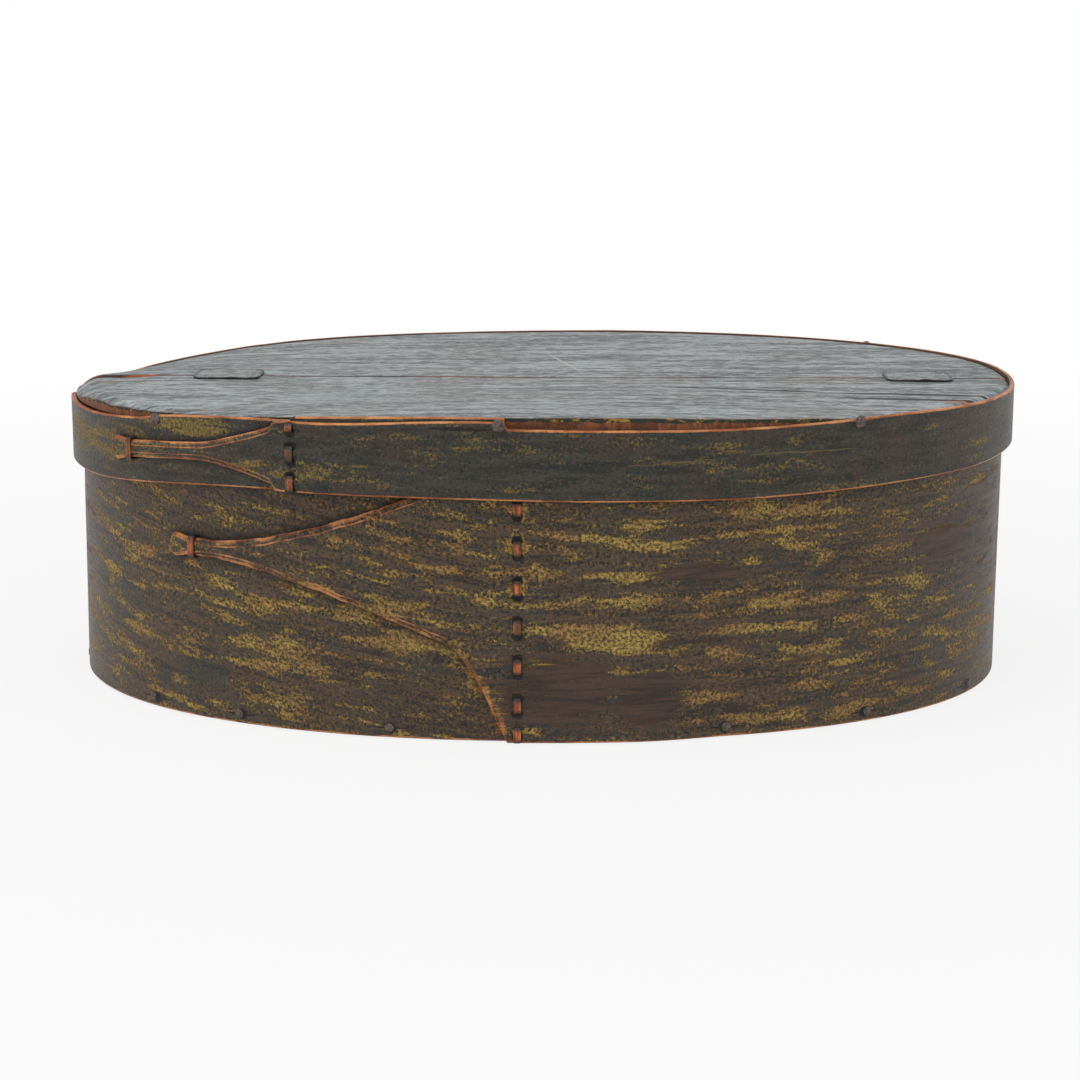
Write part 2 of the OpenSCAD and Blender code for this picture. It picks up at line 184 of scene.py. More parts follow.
CAMERA_PLACE = (-0.0013, -1.207, 0.330)
SENSOR = 36.0
FOCAL_PIXELS, PICTURE_PIXELS = 2416, 1080
CAMERA_DOWN, CAMERA_LEFT = 0.2203, 0.0026
camera_data = bpy.data.cameras.new("camera")
camera_data.sensor_width = SENSOR
camera_data.lens = SENSOR * FOCAL_PIXELS / PICTURE_PIXELS
camera = bpy.data.objects.new("camera", camera_data)
camera.location = CAMERA_PLACE
camera.rotation_euler = (math.pi / 2 - CAMERA_DOWN, -CAMERA_LEFT, 0)
scene.collection.objects.link(camera)
scene.camera = camera


# ---- The body band ----
# One thin strip of wood, cut flat with a long pointed finger, bevelled, steamed and bent round an
# oval until the finger laps over the hidden end. Its ochre paint has worn to dark wood.

OVAL_SQUARENESS = 2.15
BODY_INSIDE = (228.0, 153.0)
BODY_SEAM = 267.0
BODY_LOW, BODY_HIGH = 0.8, 139.5
BAND_THICK, BODY_LAYER = 3.0, 3.2
BAND_ROWS, RIM_ROWS = 60, 28
BODY_FINGER, BODY_FINGER_MID = 163.0, 83.0
BODY_TAIL = 38.0
FINGER_NECK = 8.0
STITCH_BACK, LOOP_BACK = 4.0, 13.0
EDGE_LOSS = 0.6
ARRIS_DROP, ARRIS_WIDE = 0.25, 0.4
LEFT_LEAN = 1.4
STATION_STEP, FINE_STEP = 2.5, 0.75


def smooth(x):
    """0 below 0, 1 above 1, with a soft start and end between them."""
    c = np.clip(x, 0.0, 1.0)
    return c * c * (3 - 2 * c)


class Oval:
    """The oval that a strip is bent round, walked by its length in mm from the seam to the left."""

    def __init__(self, half, seam, centre, step=0.25, before=120, beyond=540):
        self.half, self.centre = half, centre
        self.turns = np.arange(seam + before, seam - beyond, -step)
        steps = np.hypot(*np.diff(self.place(self.turns), axis=0).T)
        walked = np.concatenate([[0.0], np.cumsum(steps)])
        self.lengths = walked - walked[int(before / step)]
        self.around = self.lengths[int((before + 360) / step)]

    def place(self, turn):
        c, s = np.cos(np.radians(turn)), np.sin(np.radians(turn))
        e = 2 / OVAL_SQUARENESS
        x, y = (half * np.sign(w) * np.abs(w) ** e for half, w in zip(self.half, (c, s)))
        return np.stack([x, y], -1)

    def outward(self, turn):
        p = self.place(turn) / self.half
        g = np.sign(p) * np.abs(p) ** (OVAL_SQUARENESS - 1) / self.half
        return g / np.linalg.norm(g, axis=-1, keepdims=True)

    def turn_at(self, length):
        return np.interp(length, self.lengths, self.turns)

    def wall(self, length, depth):
        """Points in mm at a length round the wall, at a depth outwards from its inner face."""
        turn = self.turn_at(length)
        return self.place(turn) + self.outward(turn) * np.asarray(depth)[..., None] + self.centre


def finger_half(s, length, wings, tip=3, swell=12):
    """Half height of a finger at a length s from its seam."""
    rounded = np.sqrt(np.clip(1 - ((s - length + tip) / tip) ** 2, 0.02, 1))
    round_end = np.where(s > length - tip, rounded, 1.0)
    half = (FINGER_NECK / 2 + 2 * smooth((s - length + swell) / swell)) * (0.4 + 0.6 * round_end)
    for rise, reach in wings:
        half = half + rise * np.clip(1 - s / reach, 0, 1) ** 1.5
    return half


def wander(along, across, size, seed):
    """Slow uneven change along a surface, from -1 to 1."""
    return np.array([noise.noise(Vector((u / size, v / size, seed))) for u, v in zip(along, across)])


def blank(columns, rows):
    """A flat sheet of unit size: its mesh, its vertices' places, and which of them are its upper face's."""
    bm = bmesh.new()
    bmesh.ops.create_grid(bm, x_segments=columns, y_segments=rows, size=0.5)
    grown = bmesh.ops.extrude_face_region(bm, geom=bm.faces[:], use_keep_orig=True)
    upper = [v for v in grown["geom"] if isinstance(v, bmesh.types.BMVert)]
    bmesh.ops.translate(bm, verts=upper, vec=(0, 0, 1))
    flat = np.array([v.co[:] for v in bm.verts])
    return bm, flat, flat[:, 2] > 0.5


def write_masks(bm, **masks):
    """Keeps soft masks on the vertices, for the materials."""
    for name, values in masks.items():
        layer = bm.verts.layers.float.new(name)
        for v, value in zip(bm.verts, values):
            v[layer] = float(value)


def bent_strip(oval, stations, outline, thick, relief, grime, rows, drift=lambda s: 0 * s):
    """A flat blank, bevelled and bent: stations are lengths from the seam, and outline(s) gives the
    low and high edge, the bevel's width, the wood left at the edge and the rise off the oval."""
    last_row, last_column = rows - 1, len(stations) - 1
    bm, flat, outside = blank(last_column, last_row)
    column = np.rint((flat[:, 0] + 0.5) * last_column).astype(int)
    row = np.rint((flat[:, 1] + 0.5) * last_row).astype(int)
    s = np.asarray(stations)[column]
    low, high, bevel, left, rise = (np.asarray(part)[column] for part in outline(np.asarray(stations)))
    bevel = np.minimum(bevel, 0.3 * (high - low))
    near = np.minimum(row, last_row - row)
    wide = np.clip(bevel - 1, 0, 1)
    steps = np.stack([0 * bevel, 0.25 + 0.25 * wide, bevel * (0.6 + 0.2 * wide), bevel,
                      bevel + 0.3 + 0.2 * wide])
    share = np.clip((near - 4) / (last_row / 2 - 4), 0, 1)
    inset = np.where(near < 5, steps[np.minimum(near, 4), np.arange(len(near))],
                     steps[4] + share * ((high - low) / 2 - steps[4]))
    z = np.where(row <= last_row / 2, low + inset, high - inset)
    wood = left + (thick - left) * np.clip(inset / np.maximum(bevel, 0.01), 0, 1)
    wood = wood - ARRIS_DROP * np.clip(1 - inset / ARRIS_WIDE, 0, 1)
    depth = rise + np.where(outside, wood + relief(s, z) * np.clip(inset / 0.6, 0, 1), 0)
    place = oval.wall(s, depth)
    fade = [1.0, 1 - 0.35 * wide, 0.9 - 0.7 * wide, 0.55 + 0.4 * wide]
    arris = np.select([near == step for step in range(4)], fade, 0.0)
    arris = np.where(outside, arris, 0.45 * (near == 0))
    arris = np.maximum(arris, np.isin(column, [0, last_column]))
    # Masks for the worn edges, for painted shade beside a finger's edges, and for the inner face
    write_masks(bm, worn_edge=arris, grime=grime(s, z), inner_face=~outside)
    uv = bm.loops.layers.uv.new("along_strip")
    across = z + drift(s)
    for k, v in enumerate(bm.verts):
        v.co = (place[k, 0] * MM, place[k, 1] * MM, z[k] * MM)
        v.index = k
    for face in bm.faces:
        for loop in face.loops:
            loop[uv].uv = (s[loop.vert.index] * MM, across[loop.vert.index] * MM)
    bmesh.ops.recalc_face_normals(bm, faces=bm.faces)
    return bm


def finished(name, bm, paint, body, node, corner=40):
    """The modelled piece as an object that rides on a body and stands for its CAD node."""
    mesh = bpy.data.meshes.new(name)
    bm.to_mesh(mesh)
    bm.free()
    mesh.shade_smooth()
    mesh.set_sharp_from_angle(angle=math.radians(corner))
    mesh.materials.append(paint)
    thing = bpy.data.objects.new(name, mesh)
    scene.collection.objects.link(thing)
    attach(thing, body)
    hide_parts(node)


def stations_with(start, end, *fine):
    """Lengths from start to end, close together within 6 mm of each fine place."""
    all_of = [np.arange(start, end, STATION_STEP), [end]]
    all_of += [np.arange(f - 6, f + 6.1, FINE_STEP) for f in fine]
    places = np.unique(np.round(np.concatenate(all_of), 2))
    places = places[(places >= start) & (places <= end)]
    keep = np.concatenate([[True], np.diff(places) > 0.3])
    keep[-1] = True
    return places[keep]


body_oval = Oval(BODY_INSIDE, BODY_SEAM, (0.0, 0.0))
around = body_oval.around
BODY_WINGS = [(46.0, 140.0), (34.0, 26.0)]
body_tail_turn = body_oval.turn_at(-BODY_TAIL)
STITCH_LONG, STITCH_PITCH, FIRST_STITCH = 7.5, 18.2, 14.5
body_starts = [BODY_LOW] + [FIRST_STITCH + STITCH_PITCH * k for k in range(7)]
BODY_STITCHES = [(start, start + STITCH_LONG) for start in body_starts]


def around_the_box(turn, knots):
    """A height in mm that changes round the box: knots are pairs of an angle and a height."""
    angles, heights = np.array([*knots, (knots[0][0] + 360, knots[0][1])], float).T
    return np.interp(np.asarray(turn) % 360, angles, heights)


def band_dip(turn):
    """How far the band's top edge has worn down at the back left, where the lid has sunk with it."""
    worn = [(0, 0), (105, 0), (124, 0.8), (142, 2.4), (153, 4.0), (163, 4.8), (172, 4.0), (186, 0), (359, 0)]
    return around_the_box(turn, worn)


def body_outline(s):
    """The band's edges, its bevel and its lap, as bent_strip takes them."""
    past = s - around
    turn = body_oval.turn_at(s)
    half = finger_half(np.maximum(past, 0), BODY_FINGER, BODY_WINGS)
    half = half + (0.5 * wander(s, 0 * s, 9.0, 3.1) + 0.35 * wander(s, 0 * s, 2.5, 9.1)) * (past > 20)
    on_finger = past > 0
    cut = smooth(past / 26.0) * on_finger
    top = BODY_HIGH - band_dip(turn)
    low = np.where(on_finger, np.maximum(BODY_LOW, BODY_FINGER_MID - half), BODY_LOW)
    high = np.where(on_finger, np.minimum(top, BODY_FINGER_MID + half), top)
    rise = BODY_LAYER * smooth((body_tail_turn - 360 + 16 - turn) / 12.0)
    tip = 1 - 0.7 * smooth((past - BODY_FINGER + 20) / 8)
    edge = BAND_THICK - EDGE_LOSS
    return low, high, 0.9 + cut * 2.1 * tip, edge - cut * (edge - 1.5), rise


def dents(s, z, places, depth, tall, wide=2.6):
    """Hollows that the stitches have pressed into a face, as a height to add to it."""
    sunk = 0 * s
    for ds, dz in places:
        sunk = sunk + np.exp(-(((s - ds) / wide) ** 2 + ((z - dz) / tall) ** 2))
    return -depth * np.minimum(sunk, 1)


body_holes = [(around - STITCH_BACK, z) for run in BODY_STITCHES for z in run]
BOTTOM_NAIL_TURNS = [218, 234, 254, 290, 310, 334, 2, 30, 54, 78, 106, 130, 154, 186]
BOTTOM_NAIL_HEIGHT = (BODY_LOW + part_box("bottom_board")[1][2] / MM) / 2 + 1.0


def body_relief(s, z):
    """The outer face dips at the stitches' holes, and the wall leans in a little at the left."""
    leftward = np.clip(-np.cos(np.radians(body_oval.turn_at(s))), 0, 1)
    lean = LEFT_LEAN * np.clip(z / 110, 0, 1) * leftward ** 4
    return dents(s, z, body_holes, 1.0, 1.6) - 0.12 - 0.12 * wander(s, z, 26.0, 1.7) - lean


def finger_grime(length, wings, middle, reach):
    """Painted shade along a finger's edges, in the corner that they make with the wall behind them."""
    def grime(s, z):
        beyond = np.abs(z - middle(s)) - finger_half(np.maximum(s, 0), length, wings)
        return np.clip(1 - (beyond - 0.5) / reach, 0, 1) * (beyond > -2) * (s > 0) * (s < length + 2)
    return grime


# -- paint --


def node_group(name, inputs, outputs, recipe):
    """A node group: the recipe takes its inputs as values and gives its outputs in order."""
    tree = bpy.data.node_groups.new(name, "ShaderNodeTree")
    for label in inputs.split():
        kind = "NodeSocketVector" if label in ("Place", "Start", "End") else "NodeSocketFloat"
        tree.interface.new_socket(name=label, in_out="INPUT", socket_type=kind)
    for label in outputs.split():
        tree.interface.new_socket(name=label, in_out="OUTPUT", socket_type="NodeSocketFloat")
    source = tree.nodes.new("NodeGroupInput")
    sink = tree.nodes.new("NodeGroupOutput")
    results = recipe(*[Value(tree, source.outputs[label]) for label in inputs.split()])
    for label, result in zip(outputs.split(), results):
        tree.links.new(result.socket, sink.inputs[label])
    return tree


def use(made, **inputs):
    """Places a node group in the tree of its inputs, and gives its outputs, or its only one."""
    tree = next(value.tree for value in inputs.values() if isinstance(value, Value))
    first = put(tree, "Group", {"node_tree": made}, **inputs)
    values = [first.also(k) for k in range(len(first.socket.node.outputs))]
    return values if len(values) > 1 else values[0]


def long_grain(place, long, close):
    """Streaks that run with the first coordinate, broad and fine."""
    drawn = place.vectors("MULTIPLY", put(place.tree, "CombineXYZ", X=long, Y=close, Z=long))
    return drawn.clouds(1.0, 3.0, 0.55, 0.3), drawn.clouds(5.0, 6.0, 0.7, 0.2)


def paint_granules(place, scale):
    """Crumbs of old paint about 2 mm across, each a raised ring, most with a dark pit inside."""
    shake = place.clouds(scale * 1.7, 3.0).also("Color")
    shaken = shake.vectors("MULTIPLY_ADD", (0.0036, 0.0036, 0.0036), place)
    middle = put(place.tree, "TexVoronoi", {"voronoi_dimensions": "2D"}, Vector=shaken, Scale=scale)
    ring_chance, pit_chance, _ = middle.also("Color").axes()
    ring = middle.ramp(0.14, 0.27) * middle.ramp(0.52, 0.36) * ring_chance.ramp(0.35, 1.0)
    return ring, middle.ramp(0.26, 0.12) * pit_chance.ramp(0.25, 0.6)


def crumbled_paint(place, scale, cover, rings, pits):
    """Sheets with ragged edges drawn out along the grain, where the cover is thick enough. Tone is how
    thick the paint lies, brightest on its rings, and Film the thin stain of it round the sheets."""
    crumbs = place.clouds(scale, 4.0, 0.75)
    isles, _ = use(grain_group, Place=place, Long=55.0, Close=210.0)
    streaks, _ = use(grain_group, Place=place, Long=14.0, Close=150.0)
    broken = (isles - 0.5) * 1.5 + (streaks - 0.5) * 1.1 + (crumbs - 0.5) * 0.75 + (cover - 0.5)
    broken = broken + rings * 0.14 - pits * 0.22
    light = rings * 0.35 + crumbs.ramp(0.40, 0.60, 0.0, 0.75)
    tone = broken.ramp(-0.1, 0.35, 0.35, 1.0).maths("MULTIPLY", light, clamp=True)
    return broken.ramp(-0.03, 0.05), tone, crumbs, broken.ramp(-0.24, -0.04)


def thin_line(place, start, end, width, sway):
    """A crack or scratch on the first two coordinates, wandering a little and tapering out."""
    x, y, _ = place.axes()
    shift = (place.clouds(45.0, 4.0, 0.6) - 0.5) * sway
    here = put(place.tree, "CombineXYZ", X=x, Y=y + shift)
    run = end.vectors("SUBTRACT", start)
    gone = here.vectors("SUBTRACT", start)
    whole = run.vectors("DOT_PRODUCT", run, output="Value")
    part = gone.vectors("DOT_PRODUCT", run, output="Value").maths("DIVIDE", whole, clamp=True)
    foot = put(place.tree, "VectorMath", {"operation": "SCALE"}, n0=run, Scale=part)
    off = gone.vectors("DISTANCE", foot, output="Value")
    taper = (part * 2.0 - 1.0).maths("ABSOLUTE").maths("POWER", 3.0) * -1.0 + 1.0
    return [off.maths("DIVIDE", width * taper.maths("MAXIMUM", 0.02)).ramp(0.35, 1.0, 1.0, 0.0)]


def splint_slots(place, middle, first, pitch, length):
    """Painted shade in the torn ends of the slits that a splint goes through, up one line of a wall's front.
    """
    half_wide, half_tall, margin = 0.0031, 0.0026, 0.003
    x, y, z = place.axes()
    aside = (x - middle).maths("ABSOLUTE")
    up = (z - first + margin).maths("FLOORED_MODULO", pitch) - margin
    near_end = up.maths("ABSOLUTE").maths("MINIMUM", (up - length).maths("ABSOLUTE"))
    hole = put(place.tree, "CombineXYZ", X=aside * (1 / half_wide), Y=near_end * (1 / half_tall))
    torn = place.clouds(500.0, 3.0, 0.6) * 0.7 + (hole.vectors("LENGTH", output="Value") - 0.35)
    return [torn.ramp(1.0, 0.72) * y.maths("LESS_THAN", 0.0)]


def ragged_patch(mask, breakup, softness):
    """A soft patch of a mask made ragged, as worn or chipped paint is."""
    return [(mask + breakup).ramp(softness * -1.0 + 1.0, 1.0)]


grain_group = node_group("long_grain", "Place Long Close", "Broad Fine", long_grain)
granule_group = node_group("paint_granules", "Place Scale", "Rings Pits", paint_granules)
crumble_group = node_group("crumbled_paint", "Place Scale Cover Rings Pits", "Paint Tone Crumbs Film",
                           crumbled_paint)
line_group = node_group("thin_line", "Place Start End Width Sway", "Mask", thin_line)
slot_group = node_group("splint_slots", "Place Middle First Pitch Length", "Mask", splint_slots)
ragged_group = node_group("ragged_patch", "Mask Breakup Softness", "Mask", ragged_patch)


def mask_of(tree, name):
    """A mask kept on the vertices under a name."""
    return put(tree, "Attribute", {"attribute_name": name}, "Fac")


def ragged(name, breakup, softness):
    """The same mask, made ragged."""
    return use(ragged_group, Mask=mask_of(breakup.tree, name), Breakup=breakup, Softness=softness)


def line_on(place, start, end, width, sway):
    """A thin line between two places in mm; its width is in mm and its sway in metres."""
    ends = {"Start": Vector((*start, 0)) * MM, "End": Vector((*end, 0)) * MM}
    return use(line_group, Place=place, Width=width * MM, Sway=sway, **ends)


def slots_of(place, x, first, pitch):
    """The slots of a seam, all in mm."""
    return use(slot_group, Place=place, Middle=x * MM, First=first * MM, Pitch=pitch * MM,
               Length=STITCH_LONG * MM)


def layered(colour, *layers):
    """Lays colours over a first one, each where its own mask says."""
    for mask, over in layers:
        colour = mask.blend(colour, over)
    return colour


def end_paint(colour, rough, height, strength, distance, **constants):
    """Ends a material: one shader, with its bump."""
    bump = put(height.tree, "Bump", Strength=strength, Distance=distance, Height=height)
    shader = put(height.tree, "BsdfPrincipled", Base_Color=colour, Roughness=rough, Normal=bump, **constants)
    put(height.tree, "OutputMaterial", Surface=shader)


def strip_coats(tree, long, close, granules, slowness, crumbs):
    """What the paint of a strip is made of: its own place along the strip, the wood's grain, the
    granules' rings and pits, slow change, and the crumbled paint."""
    strip = put(tree, "UVMap", {"uv_map": "along_strip"})
    rings, pits = use(granule_group, Place=strip, Scale=granules)
    ochre = mask_of(tree, "ochre")
    paint = use(crumble_group, Place=strip, Scale=crumbs, Cover=ochre, Rings=rings, Pits=pits)
    grain = use(grain_group, Place=strip, Long=long, Close=close)
    return strip, *grain, rings, pits, strip.clouds(slowness, 3.0, 0.6), *paint


SEAM_FACE = 4.0
# The colour of the painted shade inside the stitch slots
HOLE_SHADE = (20, 15, 12)
CHIP_TINT = (196, 190, 160)

band_paint, tree, place = new_paint("body_ochre_over_dark")
strip, broad, fine, rings, pits, slow, paint, tone, crumbs, film = strip_coats(
    tree, 20.0, 300.0, 400.0, 26.0, 640.0)
colour = layered(
    broad.ramp(0.42, 0.58).blend((46, 40, 35), (90, 71, 55)),
    (slow.ramp(0.46, 0.58, 0, 0.6), (66, 64, 57)),
    (crumbs.ramp(0.53, 0.63, 0, 0.7), (112, 86, 64)),
    (rings * 0.65, (138, 106, 76)),
    (pits * 0.75, (30, 25, 22)),
    (crumbs.ramp(0.46, 0.38, 0, 0.85), (26, 22, 19)),
    (fine.ramp(0.42, 0.34, 0, 0.8), (34, 28, 23)))
brownish = tone.blend((80, 57, 38), (190, 142, 94))
yellow = slow.ramp(0.53, 0.45, 0, 0.6).blend(tone.blend((82, 65, 38), (226, 190, 102)), brownish)
stain = crumbs.ramp(0.42, 0.60).blend((58, 47, 34), (128, 104, 66))
bare = ragged("bare", broad * 1.5 + (crumbs * 0.7 - 0.9), 0.16) * crumbs.ramp(0.67, 0.62, 0.4, 0.97)
bare_wood = layered(
    broad.ramp(0.40, 0.60).blend((54, 40, 34), (82, 62, 52)),
    (fine.ramp(0.55, 0.68, 0, 0.7), (118, 76, 50)),
    (fine.ramp(0.45, 0.36, 0, 0.75), (38, 29, 25)))
patchy = strip.clouds(75.0, 2.0)
scraped = ragged("raw", fine * 1.6 - 0.75, 0.35) * crumbs.ramp(0.62, 0.54, 0.3, 0.95)
raw = ragged("worn_edge", patchy * 1.6 + (crumbs * 0.9 - 1.1), 0.55).maths("MAXIMUM", scraped)
scraped_wood = patchy.ramp(0.42, 0.58).blend((164, 90, 52), (222, 150, 96))
raw_wood = crumbs.ramp(0.60, 0.68, 0, 0.7).blend(scraped_wood, CHIP_TINT)
seam_x = float(body_oval.wall(around - STITCH_BACK, SEAM_FACE)[0])
# Over the paint: bare wood, teal paint, painted shade beside the finger's edges, raw wood, and painted shade
# in the stitch slots
colour = layered(
    colour, (film * 0.6, stain), (paint * 0.9, yellow), (bare, bare_wood),
    (ragged("teal", crumbs * 1.8 - 0.95, 0.3) * 0.85, (44, 64, 62)),
    (mask_of(tree, "grime") * 0.85, (26, 21, 18)),
    (raw, raw_wood),
    (slots_of(place, seam_x, FIRST_STITCH, STITCH_PITCH), HOLE_SHADE))

# Each nail that the front shows has split the foot of the band a little, and painted shade lies in a ring
# round its head
FRONT_NAIL_TURNS = BOTTOM_NAIL_TURNS[:6]
SPLIT_REACH, SPLIT_WIDE = 8, 0.8
across, depth, up = place.axes()
seen_flat = put(tree, "CombineXYZ", X=across, Y=up)
for turn in FRONT_NAIL_TURNS:
    x = body_oval.place(turn)[0]
    split = line_on(seen_flat, (x - SPLIT_REACH, BOTTOM_NAIL_HEIGHT), (x + SPLIT_REACH, BOTTOM_NAIL_HEIGHT),
                    SPLIT_WIDE, 0.0008)
    ring = seen_flat.vectors("DISTANCE", Vector((x, BOTTOM_NAIL_HEIGHT, 0)) * MM, output="Value")
    # The crack, with the ring of painted shade round the head
    split = split.maths("MAXIMUM", ring.ramp(0.0032, 0.0024)) * depth.maths("LESS_THAN", 0.0)
    colour = split.blend(colour, (22, 18, 16))

inside = broad.ramp(0.38, 0.62).blend((88, 66, 48), (116, 88, 62))
inside = fine.ramp(0.46, 0.36, 0, 0.7).blend(inside, (58, 43, 33))
colour = mask_of(tree, "inner_face").ramp(0.55, 0.75).blend(colour, inside)
height = crumbs * 0.9 + (pits * -0.6 + (paint * 0.35 + rings * 0.9))
height = fine * 0.6 + height * (bare * -0.8 + 1.0)
end_paint(colour, paint.ramp(0, 1, 0.40, 0.60), height, 0.8, 0.0006, Specular_IOR_Level=0.32)


def patch_mask(x, z, patches):
    """Soft patches on a face, each (x, z, half width, half height, strength), in mm."""
    total = 0 * x
    for px, pz, wide, tall, strength in patches:
        away = ((x - px) / wide) ** 2 + ((z - pz) / tall) ** 2
        total = np.maximum(total, strength * np.exp(-0.8 * away ** 1.4))
    return total


# Where the ochre lies thick, where the wood is bare, where it is raw, and where a blue-green paint shows
OCHRE_PATCHES = [
    (118, 105, 37, 3, 0.9), (107, 96, 37, 2.5, 0.9), (113, 89, 13, 2, 0.9), (94, 83, 6, 2, 0.8),
    (44, 101, 19, 3.5, 0.75), (50, 93, 24, 1.5, 0.85), (35, 84, 9, 2.5, 0.6), (44, 67, 19, 7.5, 0.6),
    (42, 49, 17, 6.5, 0.95), (101, 51, 30, 3.5, 0.95), (157, 43, 26, 2, 0.7), (82, 42, 9, 2.5, 1.0),
    (124, 39, 17, 2.5, 0.9), (140, 31, 9, 2, 0.9), (121, 22, 20, 2.5, 0.8), (151, 11, 17, 2, 0.75),
    (108, 9, 33, 3, 0.65), (194, 33, 35, 15.5, 0.5), (126, 62, 52, 5, 0.5), (-35, 100, 18, 8, 0.45),
    (-10, 108, 5, 5.5, 0.9), (-11, 93, 6, 7, 0.95), (-11, 73, 6, 6.5, 0.9), (19, 109, 24, 4.5, 0.5),
    (20, 95, 24, 1.5, 0.9), (10, 87, 10, 2, 0.8), (-43, 81, 9, 2, 0.6), (-30, 67, 12, 5.5, 0.6),
    (20, 62, 24, 2.5, 0.6), (18, 53, 25, 4, 0.95), (26, 49, 17, 3.5, 0.9), (0, 38, 16, 5, 0.55),
    (31, 35, 12, 3, 0.5), (-40, 41, 7, 7, 0.85), (-29, 28, 6, 7.5, 0.8), (-79, 58, 18, 5.5, 0.85),
    (-61, 47, 18, 6.5, 0.8), (-59, 20, 15, 6.5, 0.45), (-190, 76, 11, 3.5, 0.9), (-162, 75, 6, 2, 0.9),
    (-142, 69, 19, 4.5, 0.7), (-107, 68, 17, 5, 0.8), (-125, 59, 35, 4.5, 0.8), (-207, 61, 9, 7.5, 0.55),
    (-191, 39, 10, 4, 0.85), (-165, 55, 24, 2.5, 0.5), (-125, 42, 35, 4.5, 0.6), (-116, 32, 26, 6.5, 0.65),
    (-117, 19, 26, 6.5, 0.45), (-219, 20, 8, 3, 0.6), (-207, 10, 8, 5.5, 0.5), (-184, 9, 6, 4, 0.6),
    (-141, 118, 35, 2.5, 0.5)]
BARE_PATCHES = [
    (6, 25, 38, 22.5, 1.0), (-60, 21, 37, 16.5, 0.6), (26, 38, 18, 5.5, 0.6), (48, 22, 22, 19, 1.0),
    (70, 47, 26, 3, 0.9), (112, 44, 21, 2, 0.7), (72, 78, 24, 7, 1.0), (196, 79, 28, 21.5, 0.85),
    (220, 84, 18, 44, 1.0), (-224, 80, 8, 50, 0.8), (-214, 112, 22, 12, 0.6), (228, 30, 12, 22, 0.5),
    (121, 33, 25, 7.5, 0.5), (154, 74, 24, 9, 0.6)]
RAW_PATCHES = [
    (-38, 40, 4, 4, 0.7), (-32, 34, 3.5, 4, 0.9), (-27, 26, 3, 5, 1.0), (-22, 17, 2.6, 6, 1.0),
    (-18, 8, 2.6, 6, 1.0), (-13, 2, 5, 2, 0.8)]
TEAL_PATCHES = [
    (-178, 17, 7, 10.5, 1.0), (-160, 22, 22, 11, 0.95), (-145, 114, 5, 4, 0.4), (-61, 76, 9, 2, 0.8),
    (-6, 24, 3, 20, 0.7), (-50, 109, 8, 2, 0.6)]


def paint_wall(bm, **finishes):
    """Keeps each finish as a mask, from its general cover, how much that changes where the photograph
    doesn't reach, and its patches in front."""
    x, y, z = (np.array([v.co[axis] for v in bm.verts]) / MM for axis in range(3))
    front = smooth((40 - y) / 80)
    slow = np.array([noise.noise(Vector((u / 42, v / 42, w / 9))) for u, v, w in zip(x, y, z)])
    for name, (cover, rise, patches) in finishes.items():
        seen = np.maximum(cover, patch_mask(x, z, patches))
        write_masks(bm, **{name: front * seen + (1 - front) * (cover + rise * (slow + 0.15))})


def streak_slope(s):
    """The streaks run down to the right on the left part of the band, and level elsewhere."""
    return -0.16 * (np.clip(s, 10, 240) - 10) - 0.16 * (np.clip(s - around, 10, 240) - 10)


finger_end = around + BODY_FINGER
band_stations = stations_with(-BODY_TAIL, finger_end, around - STITCH_BACK, finger_end - 2)
# Painted shade beside the band's finger edges
body_grime = finger_grime(BODY_FINGER, BODY_WINGS, lambda s: BODY_FINGER_MID, 3.5)
band_bm = bent_strip(body_oval, band_stations, body_outline, BAND_THICK, body_relief, body_grime,
                     BAND_ROWS, streak_slope)
paint_wall(band_bm, ochre=(0.36, 0.55, OCHRE_PATCHES), bare=(0.05, 0.7, BARE_PATCHES),
           teal=(0, 0.5, TEAL_PATCHES), raw=(0, 0, RAW_PATCHES))
finished("body_band_dressed", band_bm, band_paint, "box", "body_band")


# ---- The body lacing ----
# A flat splint that sews the seam in one running stitch, pulled hard into its holes, and a short
# loop of the same splint that holds the neck of the finger.

LACE_WIDE, LACE_THICK, LACE_PLAY = 3.6, 1.1, 0.2
LACE_SIDES = 12


def splint(bm, oval, length, path, closed=False):
    """Draws the splint's flat section along a path of (depth, height) in mm at one place of a wall."""
    path = np.array(path, float)
    turn = oval.turn_at(length)
    out = np.append(oval.outward(turn), 0.0)
    along = np.array([-out[1], out[0], 0.0])
    foot = np.append(oval.place(turn) + oval.centre, 0.0)
    loops = []
    # The splint's mask of painted shade: dark where it dives down into its holes
    shade_layer = bm.verts.layers.float.get("grime") or bm.verts.layers.float.new("grime")
    count = len(path)
    for k in range(count):
        before = path[k - 1] if closed or k else path[0]
        after = path[(k + 1) % count] if closed or k < count - 1 else path[-1]
        way = (after - before) / np.linalg.norm(after - before)
        facing = np.array([way[1], -way[0]])
        section = bmesh.ops.create_circle(bm, segments=LACE_SIDES, radius=1.0)["verts"]
        for n, v in enumerate(section):
            sine = math.sin(2 * math.pi * n / LACE_SIDES)
            cosine = math.cos(2 * math.pi * n / LACE_SIDES)
            wide = LACE_WIDE / 2 * np.sign(sine) * abs(sine) ** 0.6
            thick = LACE_THICK / 2 * np.sign(cosine) * abs(cosine) ** 0.7
            depth, z = path[k] + facing * thick
            v.co = Vector((foot + out * depth + along * wide) * MM) + Vector((0, 0, z * MM))
            v[shade_layer] = float(np.clip((path[:, 0].max() - path[k][0]) / 0.3, 0, 1))
        loops.append(list({e for v in section for e in v.link_edges}))
    pairs = zip(loops, loops[1:] + loops[:1]) if closed else zip(loops, loops[1:])
    for a, b in pairs:
        bmesh.ops.bridge_loops(bm, edges=a + b)
    if not closed:
        bmesh.ops.holes_fill(bm, edges=loops[0] + loops[-1], sides=0)


